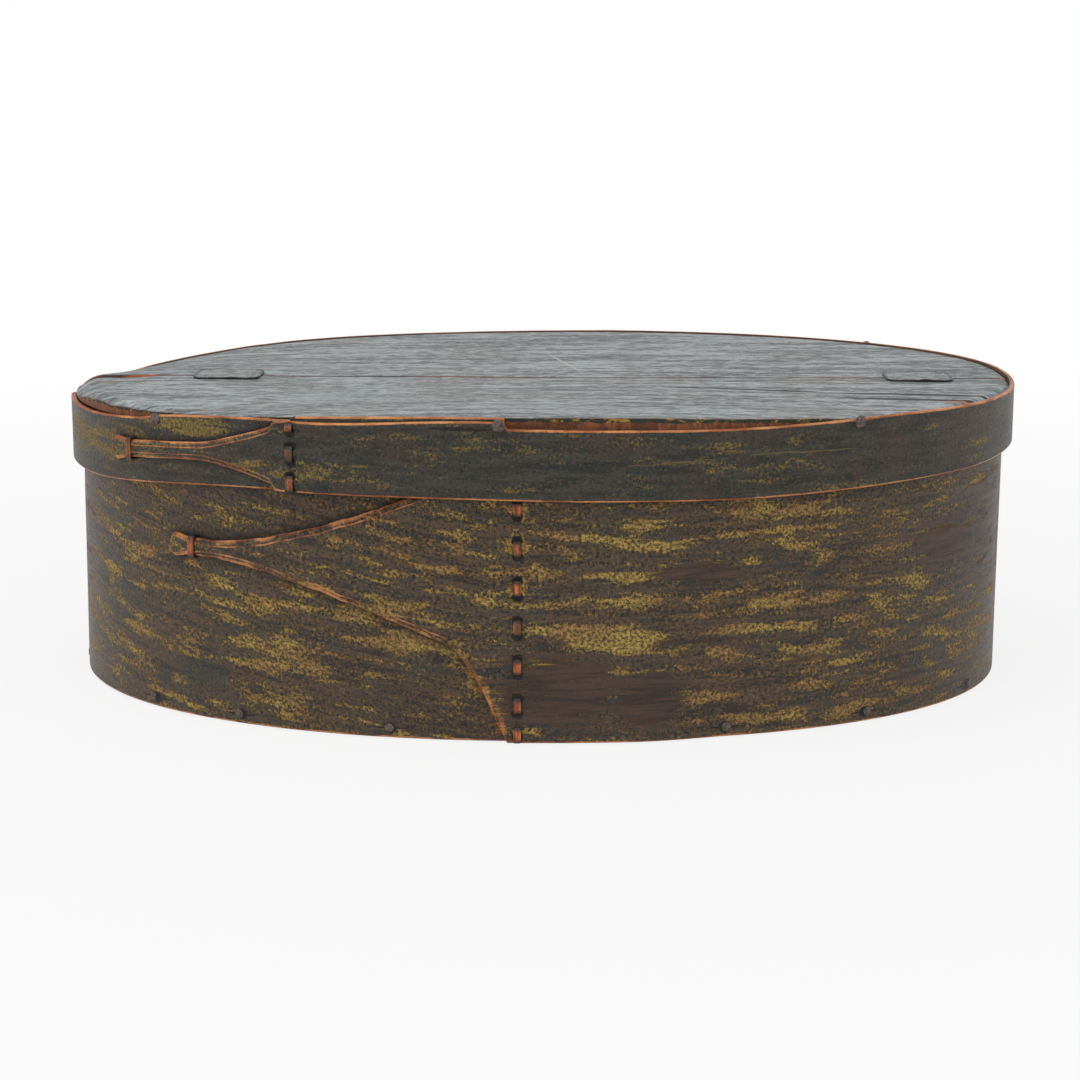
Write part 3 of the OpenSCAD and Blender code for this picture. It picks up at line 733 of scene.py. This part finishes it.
def stitch_row(name, oval, length, runs, depth, body, node):
    """A seam's lacing: each run up the outer face, and the hidden step to the next run inside."""
    bm = bmesh.new()
    into = -LACE_PLAY - LACE_THICK / 2
    out = depth + LACE_PLAY + LACE_THICK / 2
    for k, (low, high) in enumerate(runs):
        bottom, top = low + LACE_THICK / 2, high - LACE_THICK / 2
        tall = top - bottom
        path = [(into, bottom), (out - 0.8, bottom), (out - 0.25, bottom + 0.1 * tall),
                (out, bottom + 0.3 * tall), (out, top - 0.3 * tall), (out - 0.25, top - 0.1 * tall),
                (out - 0.8, top), (into, top)]
        if k + 1 < len(runs):
            path += [(into, top + 1.5), (into, runs[k + 1][0] - 0.5)]
        splint(bm, oval, length, path)
    bmesh.ops.recalc_face_normals(bm, faces=bm.faces)
    finished(name, bm, lace_paint, body, node)


def holding_loop(name, oval, length, middle, half, depth, body, node):
    """A closed turn of splint round a finger's neck, through the layer below."""
    bm = bmesh.new()
    into, out = -LACE_PLAY - LACE_THICK / 2, depth + LACE_PLAY + LACE_THICK / 2
    foot, head = middle - half - LACE_PLAY - LACE_THICK / 2, middle + half + LACE_PLAY + LACE_THICK / 2
    tall = head - foot
    path = [(into, foot + 0.6), (into + 0.5, foot), (out - 0.9, foot), (out - 0.2, foot + 0.1 * tall),
            (out, foot + 0.3 * tall), (out, head - 0.3 * tall), (out - 0.2, head - 0.1 * tall),
            (out - 0.9, head), (into + 0.5, head), (into, head - 0.6)]
    splint(bm, oval, length, path, closed=True)
    bmesh.ops.recalc_face_normals(bm, faces=bm.faces)
    finished(name, bm, lace_paint, body, node)


lace_paint, tree, place = new_paint("red_brown_splint")
fibre = put(tree, "Mapping", Vector=place, Scale=(900, 900, 60)).clouds(1.0, 4.0, 0.6)
# The splint's colour, ending with painted shade where it goes down into its holes
colour = layered(
    fibre.ramp(0.38, 0.62).blend((124, 62, 32), (206, 120, 68)),
    (place.clouds(260.0, 4.0, 0.7).ramp(0.50, 0.60, 0, 0.7), (62, 42, 32)),
    (place.clouds(48.0, 1.0).ramp(0.52, 0.60, 0, 0.8), (74, 58, 46)),
    (mask_of(tree, "grime"), (30, 23, 19)))
end_paint(colour, 0.42, fibre, 0.6, 0.0004, Specular_IOR_Level=0.4)

BODY_SEAM_DEPTH = BODY_LAYER + BAND_THICK
body_loop_half = float(finger_half(BODY_FINGER - LOOP_BACK, BODY_FINGER, BODY_WINGS))
stitch_row("body_seam_lacing_dressed", body_oval, around - STITCH_BACK, BODY_STITCHES, BODY_SEAM_DEPTH,
           "box", "body_seam_lacing")
holding_loop("body_finger_loop_dressed", body_oval, finger_end - LOOP_BACK, BODY_FINGER_MID,
             body_loop_half, BODY_SEAM_DEPTH, "box", "body_finger_loop")


# ---- The bottom board ----
# A plain oval board of bare wood let into the foot of the band. It keeps its CAD mesh, which the
# photograph hardly shows, and gets its wood here.

board_paint, tree, place = new_paint("bare_bottom_wood")
broad, fine = use(grain_group, Place=place, Long=10.0, Close=180.0)
colour = broad.ramp(0.3, 0.7).blend((84, 62, 44), (128, 98, 70))
end_paint(fine.ramp(0.5, 0.75).blend(colour, (66, 48, 36)), 0.7, fine, 0.5, 0.0005)
board_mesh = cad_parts["bottom_board"].data
board_mesh.materials.clear()
board_mesh.materials.append(board_paint)


# ---- The bottom nails ----
# Small hand-made iron nails through the foot of the band into the bottom board, dark with rust.

NAIL_LONG = 16.0
BOTTOM_NAIL_SUNK, RIM_NAIL_SUNK = 0.55, 0.5
BOTTOM_NAIL_HEAD, BOTTOM_NAIL_RISE = 2.2, 0.9


def hammered_nail(bm, foot, out, radius, head, number):
    """One nail, seated at foot and pointing along out: a tapered shank and a low head with a few flats."""
    seat = 0.55 * head
    bmesh.ops.create_cone(bm, cap_ends=True, segments=9, radius1=0.94 * radius, radius2=radius, depth=seat)
    bmesh.ops.translate(bm, verts=bm.verts, vec=(0, 0, seat / 2))
    for share, rise in ((0.30, 0.33), (0.35, 0.12)):
        crown = max(bm.faces, key=lambda face: face.calc_center_median().z)
        bmesh.ops.inset_region(bm, faces=[crown], thickness=share * radius, depth=rise * head)
    for n, v in enumerate(bm.verts):
        blows = [noise.noise(Vector((n, number, seed))) for seed in (1.5, 7.5, 4.5)]
        v.co.x += 0.12 * radius * blows[0]
        v.co.y += 0.12 * radius * blows[1]
        v.co.z += 0.14 * head * blows[2] * (v.co.z > 0.01)
    shank = bmesh.ops.create_cone(bm, cap_ends=True, segments=8, radius1=0.25, radius2=min(1.0, 0.6 * radius),
                                  depth=NAIL_LONG)["verts"]
    bmesh.ops.translate(bm, verts=shank, vec=(0, 0, -NAIL_LONG / 2 + 0.02))
    turned = Vector(out).to_track_quat("Z", "Y").to_matrix()
    bmesh.ops.rotate(bm, verts=bm.verts, matrix=turned)
    bmesh.ops.translate(bm, verts=bm.verts, vec=foot)


iron_paint, tree, place = new_paint("rusted_iron")
rust = place.clouds(700.0, 5.0, 0.7)
colour = rust.ramp(0.4, 0.62).blend((62, 54, 52), (124, 104, 98))
end_paint(colour, rust.ramp(0.3, 0.7, 0.42, 0.7), rust, 0.6, 0.0004, Metallic=0.35)


def nailed(name, oval, places, radius, head, body, node):
    """A row of nails round a wall; each place is an angle, a height and how deep its seat lies."""
    bm = bmesh.new()
    for number, (turn, height, seat) in enumerate(places):
        single = bmesh.new()
        foot = np.append(oval.place(turn) + oval.outward(turn) * seat + oval.centre, height)
        hammered_nail(single, foot, np.append(oval.outward(turn), 0.0), radius, head, number)
        passed = bpy.data.meshes.new("one_nail")
        single.to_mesh(passed)
        single.free()
        bm.from_mesh(passed)
        bpy.data.meshes.remove(passed)
    bmesh.ops.scale(bm, verts=bm.verts, vec=(MM, MM, MM))
    bmesh.ops.recalc_face_normals(bm, faces=bm.faces)
    finished(name, bm, iron_paint, body, node, corner=28)


bottom_seat = BAND_THICK - BOTTOM_NAIL_SUNK
bottom_places = [(turn, BOTTOM_NAIL_HEIGHT, bottom_seat) for turn in BOTTOM_NAIL_TURNS]
nailed("bottom_nails_dressed", body_oval, bottom_places, BOTTOM_NAIL_HEAD, BOTTOM_NAIL_RISE, "box",
       "bottom_nails")


# ---- The lid rim ----
# A second bent strip, lower and thinner, with its own short finger at the left front. It has
# slipped down at the left end and the right front, and a sliver of it has sprung up at a nail.

RIM_INSIDE = (232.4, 159.8)
RIM_CENTRE = (0.5, -1.6)
RIM_SEAM = 242.0
RIM_THICK, RIM_LAYER = 2.6, 2.8
RIM_LOW, RIM_HIGH = 114.8, 146.8
RIM_FINGER, RIM_TAIL = 98.0, 100.0
RIM_STITCH_PITCH, RIM_STITCH_TOP = 13.5, 146.0
LID_LOW, LID_THICK = 139.5, 7.0
SPLIT_Y, SPLIT_TURN, SPLIT_GAP = -16.0, -1.2, 1.0
FRONT_LIFT = 4.6
rim_oval = Oval(RIM_INSIDE, RIM_SEAM, RIM_CENTRE)
RIM_WINGS = [(11.0, 46.0), (34.0, 5.0)]
rim_around = rim_oval.around
rim_tail_turn = rim_oval.turn_at(-RIM_TAIL)
rim_stitch_turn = rim_oval.turn_at(-STITCH_BACK)
rim_mid = (RIM_LOW + RIM_HIGH) / 2


def slip(turn):
    """How far the rim has slipped down at an angle round it."""
    turn = turn % 360
    left = 6.5 * smooth((turn - 105) / 55) * smooth((240 - turn) / 37)
    away = np.clip((turn - 287) / 30, -1, 1)
    return left + 2.0 * np.cos(np.pi / 2 * away) ** 2


def towards_front(y):
    """0 at the split and behind it, 1 at the front edge of the lid."""
    return np.maximum(0, SPLIT_Y - y) / (RIM_INSIDE[1] + SPLIT_Y - RIM_CENTRE[1])


def board_lift(x, y):
    """How far the front board has bowed up, most at the middle of its front edge."""
    return FRONT_LIFT * towards_front(y) * np.maximum(0, 1 - (x / 150) ** 2)


def back_edge(x):
    """How high the top edge stands at the back, at a length along the lid: worn and sunk at the left."""
    heights = [(-240, 136.8), (-229, 135.6), (-222, 136.0), (-209, 138.0), (-186, 140.3), (-161, 142.4),
               (-135, 143.8), (-107, 144.6), (-80, 145.0), (-20, 145.8), (40, 146.6), (240, 146.8)]
    return np.interp(x, *np.array(heights, float).T)


# How far the rim's top edge has worn down in front, and its foot up at the right end, by the angle round it
FRONT_WORN = [(0, 0), (180, 0), (192, 1.6), (204, 1.7), (219, 1.5), (222, 0.3), (226, 0), (312, 0),
              (330, 1.0), (345, 1.0), (359, 0)]
RIM_FOOT_WORN = [(0, 3.0), (25, 2.4), (50, 0), (310, 0), (328, 0.8), (345, 2.6)]


def rim_outline(s):
    """The rim's edges, its bevel and its lap, as bent_strip takes them, with its slip and its wear."""
    past = s - rim_around
    turn = rim_oval.turn_at(s)
    half = finger_half(np.maximum(past, 0), RIM_FINGER, RIM_WINGS)
    half = half + 0.25 * wander(s, 0 * s, 8.0, 8.4) * (past > 12)
    on_finger = past > 0
    cut = smooth(past / 7.5) * on_finger
    hidden = (turn > rim_stitch_turn) & (s < 10)
    x, y = (rim_oval.place(turn) + RIM_CENTRE).T
    low = np.where(on_finger, np.maximum(RIM_LOW, rim_mid - half), RIM_LOW)
    low = low - slip(turn) + around_the_box(turn, RIM_FOOT_WORN)
    lifted = RIM_HIGH + np.where(hidden, board_lift(x, y), 0)
    high = np.where(on_finger, np.minimum(RIM_HIGH, rim_mid + half), lifted)
    high = high - slip(turn) - around_the_box(turn, FRONT_WORN) * ~on_finger
    sprung = (turn > -120) & (turn < -93.6) & ~on_finger
    high = high + 3.0 * smooth((turn + 115) / 20) * sprung
    behind = smooth((y + 25) / 20)
    high = np.where(on_finger, high, (1 - behind) * high + behind * np.minimum(high, back_edge(x)))
    rise = RIM_LAYER * smooth((rim_tail_turn - 360 + 16 - turn) / 12.0)
    tip = 1 - 0.6 * smooth((past - RIM_FINGER + 18) / 8)
    edge = RIM_THICK - EDGE_LOSS
    return low, high, 0.8 + cut * 1.8 * tip, edge - cut * (edge - 1.4), rise


first_rim_stitch = RIM_LOW - float(slip(rim_stitch_turn))
rim_starts = [first_rim_stitch + RIM_STITCH_PITCH * k for k in range(3)]
RIM_STITCHES = [(start, min(start + STITCH_LONG, RIM_STITCH_TOP)) for start in rim_starts]
rim_holes = [(rim_around - STITCH_BACK, z) for run in RIM_STITCHES for z in run]


def rim_relief(s, z):
    """The outer face dips at the stitches' holes and is a little uneven."""
    return dents(s, z, rim_holes, 0.9, 1.4) - 0.2 - 0.1 * wander(s, z, 22.0, 5.2)


rim_paint, tree, place = new_paint("rim_dark_green_over_ochre")
strip, broad, fine, rings, pits, slow, paint, tone, crumbs, film = strip_coats(
    tree, 40.0, 220.0, 440.0, 34.0, 680.0)
specks = slow.ramp(0.45, 0.55).blend((104, 102, 92), (138, 88, 62))
stain = crumbs.ramp(0.44, 0.60).blend((46, 44, 34), (112, 98, 70))
patchy = strip.clouds(90.0, 3.0, 0.6)
raw = ragged("worn_edge", patchy + (crumbs - 0.82), 0.5)
# The rim's colour ends with painted shade beside its finger's edges
colour = layered(
    broad.ramp(0.36, 0.64).blend((38, 41, 37), (66, 65, 56)),
    (slow.ramp(0.48, 0.60, 0, 0.5), (76, 58, 48)),
    (crumbs.ramp(0.57, 0.67, 0, 0.75), specks),
    (rings * 0.45, (98, 86, 68)),
    (pits * 0.65, (25, 25, 22)),
    (crumbs.ramp(0.43, 0.35, 0, 0.85), (24, 24, 21)),
    (film * 0.55, stain),
    (paint * 0.8, tone.blend((84, 72, 42), (178, 150, 86))),
    (raw, broad.ramp(0.4, 0.6).blend((166, 94, 54), (222, 152, 98))),
    (mask_of(tree, "grime") * 0.8, (20, 17, 15)))

# A scratch, a dark gap at the top edge and a scored line, by the length back from the seam and the height
SCORED = [((150, 129.5), (196, 131.5), 0.45, 0.004, (112, 92, 60)),
          ((66, 146.4), (96, 146.0), 1.3, 0.0, (14, 12, 10)),
          ((206, 133.0), (264, 132.8), 0.5, 0.004, (114, 100, 62))]
for (start, start_z), (end, end_z), width, sway, tint in SCORED:
    line = line_on(strip, (rim_around - start, start_z), (rim_around - end, end_z), width, sway)
    colour = (line * 0.85).blend(colour, tint)

rim_seam_x = float(rim_oval.wall(rim_around - STITCH_BACK, SEAM_FACE)[0])
inside = broad.ramp(0.38, 0.62).blend((88, 62, 44), (120, 88, 60))
# Painted shade in the stitch slots, and bare wood on the inner face
colour = layered(
    colour,
    (slots_of(place, rim_seam_x, first_rim_stitch, RIM_STITCH_PITCH), HOLE_SHADE),
    (mask_of(tree, "inner_face").ramp(0.55, 0.75), inside))
height = rings * 0.7 + (pits * -0.5 + (crumbs * 0.9 + fine * 0.6))
end_paint(colour, paint.ramp(0, 1, 0.40, 0.6), height, 0.8, 0.0006, Specular_IOR_Level=0.28)

RIM_OCHRE = [(-205, 126, 40, 14, 0.62), (-160, 140, 26, 4, 0.95), (-120, 127, 30, 8, 0.5),
             (-60, 122, 60, 5, 0.35), (-30, 139, 60, 3, 0.5), (40, 126, 50, 8, 0.3), (80, 138, 12, 3, 0.5)]
RIM_SEAM_DEPTH = RIM_LAYER + RIM_THICK
rim_finger_end = rim_around + RIM_FINGER
rim_stations = stations_with(-RIM_TAIL, rim_finger_end, rim_around - STITCH_BACK, rim_finger_end - 2)
# Painted shade beside the rim finger's edges
rim_grime = finger_grime(RIM_FINGER, RIM_WINGS, lambda s: rim_mid - slip(rim_oval.turn_at(s)), 2.5)
rim_bm = bent_strip(rim_oval, rim_stations, rim_outline, RIM_THICK, rim_relief, rim_grime, RIM_ROWS)
paint_wall(rim_bm, ochre=(0.2, 0.4, RIM_OCHRE))
finished("lid_rim_dressed", rim_bm, rim_paint, "lid", "lid_rim")
stitch_row("rim_seam_lacing_dressed", rim_oval, rim_around - STITCH_BACK, RIM_STITCHES, RIM_SEAM_DEPTH,
           "lid", "rim_seam_lacing")
rim_loop_at = rim_finger_end - LOOP_BACK
rim_loop_half = float(finger_half(RIM_FINGER - LOOP_BACK, RIM_FINGER, RIM_WINGS))
rim_loop_mid = rim_mid - float(slip(rim_oval.turn_at(rim_loop_at)))
holding_loop("rim_finger_loop_dressed", rim_oval, rim_loop_at, rim_loop_mid, rim_loop_half, RIM_SEAM_DEPTH,
             "lid", "rim_finger_loop")


# ---- The rim nails ----
# The same hand-made nails, larger, driven through the rim into the edges of the two boards.

RIM_NAIL_HEAD, RIM_NAIL_RISE = 2.9, 1.35
RIM_NAIL_TILT = 5.0
# Each nail's angle round the lid, and how far it sits above or below the middle of the board's edge
RIM_NAILS = {42: 1.4, 70: 0, 106: -1.7, 126: -2.4, 222: -1.6, 266: 0, 306: 0}
rim_nail_places = []
for turn, off in RIM_NAILS.items():
    doubled = rim_stitch_turn < turn < rim_tail_turn
    tilt = RIM_NAIL_TILT * float(towards_front(rim_oval.place(turn)[1] + RIM_CENTRE[1]))
    height = (LID_LOW + tilt + RIM_HIGH - slip(turn) + tilt * doubled) / 2 + off
    rim_nail_places.append((turn, height, RIM_THICK + RIM_LAYER * doubled - RIM_NAIL_SUNK))
nailed("rim_nails_dressed", rim_oval, rim_nail_places, RIM_NAIL_HEAD, RIM_NAIL_RISE, "lid", "rim_nails")


# ---- The lid boards ----
# Two flat boards that were once one, split along the grain, under blue-grey paint with the grain
# weathered out. The front board has lifted at its front edge, where its arris is bare.

BOARD_GAP = 0.1
BOARD_COLUMNS, BOARD_ROWS = 220, 72
BOARD_HALF = (RIM_INSIDE[0] - BOARD_GAP, RIM_INSIDE[1] - BOARD_GAP)


def lid_edge(x):
    """Half width of the lid's boards at a length x from their middle."""
    a, b = BOARD_HALF
    return b * np.clip(1 - np.abs(x / a) ** OVAL_SQUARENESS, 0, 1) ** (1 / OVAL_SQUARENESS)


def wall_turn_and_depth(x, y):
    """The angle round the lid and the distance in from its wall, of a place on the boards."""
    (a, b), n = BOARD_HALF, OVAL_SQUARENESS
    u, v = np.abs(x / a), np.abs(y / b)
    r = np.maximum((u ** n + v ** n) ** (1 / n), 0.001)
    slope = np.hypot((u / r) ** (n - 1) / a, (v / r) ** (n - 1) / b)
    turn = np.degrees(np.arctan2(np.sign(y) * v ** (n / 2), np.sign(x) * u ** (n / 2))) % 360
    return turn, np.maximum(0, (1 - r) / slope)


def split_line(x):
    """The split between the boards: nearly straight, bent at the right, with a wandering ragged edge."""
    y = SPLIT_Y + math.tan(math.radians(SPLIT_TURN)) * (x + RIM_CENTRE[0]) - RIM_CENTRE[1]
    y = y + 5.0 * smooth((x - 20) / 180)
    for sway, size, seed in ((0.9, 60.0, 5.3), (0.35, 11.0, 2.2), (0.2, 3.0, 4.2)):
        y = y + sway * wander(x, 0 * x, size, seed)
    return y


def board_sink(side, x, y):
    """How far a board lies below its flat place: the back one droops with the rim at the left."""
    half, split = lid_edge(x), split_line(x)
    if side > 0:
        share = np.clip((y - split) / np.maximum(half - split, 1.0), 0, 1)
        return (RIM_HIGH - back_edge(x)) * (y > split - 1) * share ** 1.2
    return smooth((-185 - x) / 25) * np.exp(-((y - split) / 14) ** 2)


# How far the boards' edges are rounded over, and how wide, by the angle round the lid, in mm
EDGE_ROUNDED = [(0, 2.2), (12, 1.4), (30, 1.0), (90, 0.5), (130, 0.5), (166, 0.8), (172, 5.6),
                (190, 6.6), (198, 4.4), (205, 2.4), (216, 2.6), (231, 0.6), (250, 0.2), (285, 0.3),
                (300, 0.5), (308, 1.0), (315, 2.0), (325, 2.0), (336, 3.6), (350, 2.6)]
EDGE_REACH = [(0, 4.0), (100, 3.0), (166, 3.0), (172, 13.0), (192, 13.0), (205, 6.0), (216, 6.0), (231, 3.0),
              (285, 2.5), (308, 3.0), (325, 5.0), (345, 5.0)]
# Where the lid's paint is palest with dust and rubbing, in mm
DUSTY_PATCHES = [(-90, -60, 80, 55, 0.9), (-130, 20, 50, 30, 0.6), (10, -130, 120, 14, 0.7),
                 (60, -70, 60, 30, 0.35)]


def lid_board(side):
    """One board as a flat blank, with its edge on the oval and on the split; side is 1 at the back."""
    bm, flat, upper = blank(BOARD_COLUMNS, BOARD_ROWS)
    x = (BOARD_HALF[0] - 0.02) * np.sin(np.pi / 2 * np.clip(2 * flat[:, 0], -1, 1))
    across = flat[:, 1] + 0.5
    share = 0.6 * (0.5 - 0.5 * np.cos(np.pi * across)) + 0.4 * across
    half = lid_edge(x)
    split = split_line(x) + side * SPLIT_GAP / 2
    low = np.clip(split, -half, half) if side > 0 else -half
    high = half if side > 0 else np.clip(split, -half, half)
    y = low + share * (high - low)
    turn, from_wall = wall_turn_and_depth(x, y)
    from_split = np.abs(y - split)
    reach = np.clip(1 - from_wall / around_the_box(turn, EDGE_REACH), 0, 1) ** 2
    rounded = around_the_box(turn, EDGE_ROUNDED) * reach * (1 + 0.35 * wander(x, y, 9.0, 7.7))
    sunk = board_sink(side, x, y)
    top = LID_LOW + LID_THICK - 0.05 - sunk - rounded - 0.9 * np.clip(1 - from_split / 1.8, 0, 1) ** 2
    top = top - 0.15 * (1 + wander(x, y, 45.0, 6.1))
    under = LID_LOW - np.minimum(np.maximum(sunk - 1.5, 0), band_dip(turn)) * (side > 0)
    z = np.where(upper, np.maximum(top, under + 0.4), under)
    x, y = x + RIM_CENTRE[0], y + RIM_CENTRE[1]
    if side < 0:
        z = z + board_lift(x, y)
    worn = np.where(upper, np.clip(1 - from_wall / 2.4, 0, 1), 1.0)
    write_masks(bm, worn_edge=worn, edge_height=upper, split_edge=np.clip(1.15 - from_split / 1.8, 0, 1),
                dusty=patch_mask(x - RIM_CENTRE[0], y - RIM_CENTRE[1], DUSTY_PATCHES))
    for v, place in zip(bm.verts, np.stack([x, y, z], -1) * MM):
        v.co = place
    bmesh.ops.remove_doubles(bm, verts=bm.verts, dist=0.00002)
    bmesh.ops.recalc_face_normals(bm, faces=bm.faces)
    return bm


lid_paint, tree, place = new_paint("weathered_blue_grey_paint")
broad, fine = use(grain_group, Place=place, Long=12.0, Close=130.0)
_, threads = use(grain_group, Place=place, Long=16.0, Close=420.0)
dust = put(tree, "Mapping", Vector=place, Scale=(150, 420, 420)).clouds(1.0, 4.0, 0.75)
flecks = put(tree, "Mapping", Vector=place, Scale=(110, 360, 200)).clouds(1.0, 5.0, 0.7)
slow = place.clouds(14.0, 3.0, 0.6)
rubbed = mask_of(tree, "dusty") + (slow * 1.6 - 0.8)
raw_wood = threads.ramp(0.38, 0.62).blend((92, 56, 38), (148, 92, 58))
worn_tint = dust.ramp(0.45, 0.55).blend((98, 94, 86), raw_wood)
edge_height = mask_of(tree, "edge_height")
remains = edge_height.ramp(0.45, 0.9) + (fine * 2.4 - 1.4)
old_coats = (dust + flecks).ramp(1.07, 1.14).blend((42, 46, 34), (170, 132, 58))
side_tint = remains.ramp(0.35, 0.55).blend(raw_wood, old_coats)
split_tint = slow.ramp(0.44, 0.56).blend((34, 30, 27), (120, 78, 50))
colour = layered(
    broad.ramp(0.42, 0.58).blend((90, 95, 98), (174, 179, 181)),
    (rubbed.ramp(0.1, 0.8, 0.16, 0.6), (162, 168, 170)),
    (slow.ramp(0.47, 0.60, 0, 0.55), (122, 121, 112)),
    (dust.ramp(0.52, 0.62, 0, 0.7), (200, 205, 207)),
    (dust.ramp(0.46, 0.37, 0, 0.75), (84, 88, 90)),
    (flecks.ramp(0.54, 0.64, 0, 0.6), (184, 189, 191)),
    (flecks.ramp(0.45, 0.37, 0, 0.85), (80, 83, 84)),
    (threads.ramp(0.46, 0.37, 0, 0.8), (84, 88, 90)),
    (fine.ramp(0.40, 0.33, 0, 0.9), (62, 62, 60)),
    (ragged("worn_edge", fine - 0.55, 0.4) * 0.85, worn_tint),
    (edge_height.ramp(0.995, 0.96), side_tint),
    (mask_of(tree, "split_edge").ramp(0.1, 0.75), split_tint))

# Cracks in the boards, and marks that are only coloured: from one place in mm to another, and how wide
CRACKS = [((56, -52), (140, -64), 2.8), ((136, -63.4), (222, -71.5), 4.0), ((138, -78.5), (222, -87), 3.8),
          ((44, -91), (69, -96), 1.4), ((-40, -60), (40, -58), 0.7), ((120, 20), (200, 16), 0.8),
          ((60, -28), (190, -36), 0.8), ((-150, 60), (-80, 62), 0.6)]
MARKS = [((186, -86), (214, -89.5), 2.2, (176, 112, 66)), ((3, 70), (22, -7), 1.1, (180, 188, 170)),
         ((-99, 26), (-96, 31), 1.6, (196, 170, 110)), ((-214, -13), (-192, -10.5), 2.4, (176, 92, 50))]
cracks = line_on(place, *CRACKS[0], 0.006)
for crack in CRACKS[1:]:
    cracks = line_on(place, *crack, 0.006).maths("MAXIMUM", cracks)
colour = cracks.blend(colour, (24, 20, 18))
for start, end, width, tint in MARKS:
    colour = (line_on(place, start, end, width, 0.003) * 0.8).blend(colour, tint)
height = cracks * -1.5 + (threads * 0.9 + (flecks * 0.6 + fine))
end_paint(colour, 0.62, height, 0.6, 0.0006, Specular_IOR_Level=0.3)
finished("lid_board_front_dressed", lid_board(-1), lid_paint, "lid", "lid_board_front")
finished("lid_board_back_dressed", lid_board(1), lid_paint, "lid", "lid_board_back")


# ---- The mending plates ----
# Two small sheets of tinned iron, with rounded corners, tacked over the split and buckled by it.

PLATE_LONG, PLATE_WIDE, PLATE_THICK = 33.0, 27.0, 0.6
PLATE_PLACES = {"mending_plate_left": RIM_CENTRE[0] - RIM_INSIDE[0] + 76.0,
                "mending_plate_right": RIM_CENTRE[0] + RIM_INSIDE[0] - 46.0}
RIGHT_PLATE_BACK = 5.0
PLATE_CORNER = 7
TACK_IN, TACK_LONG, TACK_DRIVEN, TACK_HEAD = 5.0, 5.0, 2.8, 0.7
TACKS = [(u * (PLATE_LONG / 2 - TACK_IN), v * (PLATE_WIDE / 2 - TACK_IN)) for u in (-1, 1) for v in (-1, 1)]


def plate_point(middle, u, v):
    """A place on a plate in mm, u along the split and v across it, and the height of the wood below."""
    turned = math.radians(SPLIT_TURN)
    v = v + RIGHT_PLATE_BACK * (middle > 0)
    x = middle + u * math.cos(turned) - v * math.sin(turned)
    y = SPLIT_Y + (middle + u) * math.tan(turned) + v * math.cos(turned)
    return x, y, LID_LOW + LID_THICK + board_lift(x, y) - 0.05


def plate_buckle(u, v, seed):
    """Height of a plate off the wood: it lies down at its tacks and stands up a little between them."""
    tacked = 0 * u
    for tack_u, tack_v in TACKS:
        tacked = np.maximum(tacked, np.exp(-(np.hypot(u - tack_u, v - tack_v) / 4.5) ** 2))
    wave = 0.5 + 0.5 * wander(u, v, 6.5, seed) + 0.35 * wander(u, v, 2.6, seed + 3)
    return 0.08 + np.clip(wave, 0, 1.2) * (1 - tacked) * 0.75


plate_paint, tree, place = new_paint("dull_tinned_sheet")
dull = place.clouds(170.0, 6.0, 0.65)
_, marks = use(grain_group, Place=place, Long=60.0, Close=500.0)
colour = layered(
    dull.ramp(0.4, 0.66).blend((126, 130, 131), (98, 96, 90)),
    (marks.ramp(0.6, 0.7, 0, 0.5), (170, 174, 175)),
    (mask_of(tree, "worn_edge").ramp(0.1, 0.6, 0, 0.9), (52, 47, 44)))
end_paint(colour, dull.ramp(0.3, 0.7, 0.38, 0.6), dull, 0.35, 0.0004, Metallic=0.45)


def tapered(bm, sides, low, high, depth):
    """A short cone, its radii and depth in mm."""
    return bmesh.ops.create_cone(bm, cap_ends=True, segments=sides, radius1=low * MM, radius2=high * MM,
                                 depth=depth * MM)["verts"]


tack_bm = bmesh.new()
for number, (name, middle) in enumerate(PLATE_PLACES.items()):
    seed = 2.0 + 5 * number
    bm = bmesh.new()
    bmesh.ops.create_grid(bm, x_segments=40, y_segments=34, size=1.0)
    flat = np.array([v.co[:] for v in bm.verts])
    long_way, wide_way = np.abs(flat[:, 0]), np.abs(flat[:, 1])
    biggest = np.maximum(long_way, wide_way)
    round_way = (long_way ** PLATE_CORNER + wide_way ** PLATE_CORNER) ** (1 / PLATE_CORNER)
    draw = biggest / np.maximum(round_way, 0.0001)
    u, v = flat[:, 0] * draw * PLATE_LONG / 2, flat[:, 1] * draw * PLATE_WIDE / 2
    x, y, wood = plate_point(middle, u, v)
    z = wood + plate_buckle(u, v, seed) + PLATE_THICK
    write_masks(bm, worn_edge=np.clip((biggest - 0.88) / 0.12, 0, 1))
    for vertex, spot in zip(bm.verts, np.stack([x, y, z], -1) * MM):
        vertex.co = spot
    bmesh.ops.recalc_face_normals(bm, faces=bm.faces)
    if sum(face.normal.z for face in bm.faces) < 0:
        bmesh.ops.reverse_faces(bm, faces=bm.faces)
    bmesh.ops.solidify(bm, geom=bm.faces[:], thickness=PLATE_THICK * MM)
    bmesh.ops.recalc_face_normals(bm, faces=bm.faces)
    finished(name + "_dressed", bm, plate_paint, "lid", name, corner=50)
    for tack_u, tack_v in TACKS:
        u, v = np.array([tack_u]), np.array([tack_v])
        x, y, wood = plate_point(middle, u, v)
        head = tapered(tack_bm, 12, 1.8, 1.0, TACK_HEAD)
        shank = tapered(tack_bm, 8, 0.15, 0.6, TACK_LONG)
        bmesh.ops.translate(tack_bm, verts=shank, vec=(0, 0, -TACK_DRIVEN * MM))
        seat = wood[0] + plate_buckle(u, v, seed)[0] + PLATE_THICK + TACK_HEAD / 2
        bmesh.ops.translate(tack_bm, verts=head + shank, vec=(x[0] * MM, y[0] * MM, seat * MM))
bmesh.ops.recalc_face_normals(tack_bm, faces=tack_bm.faces)
finished("plate_tacks_dressed", tack_bm, plate_paint, "lid", "plate_tacks", corner=28)
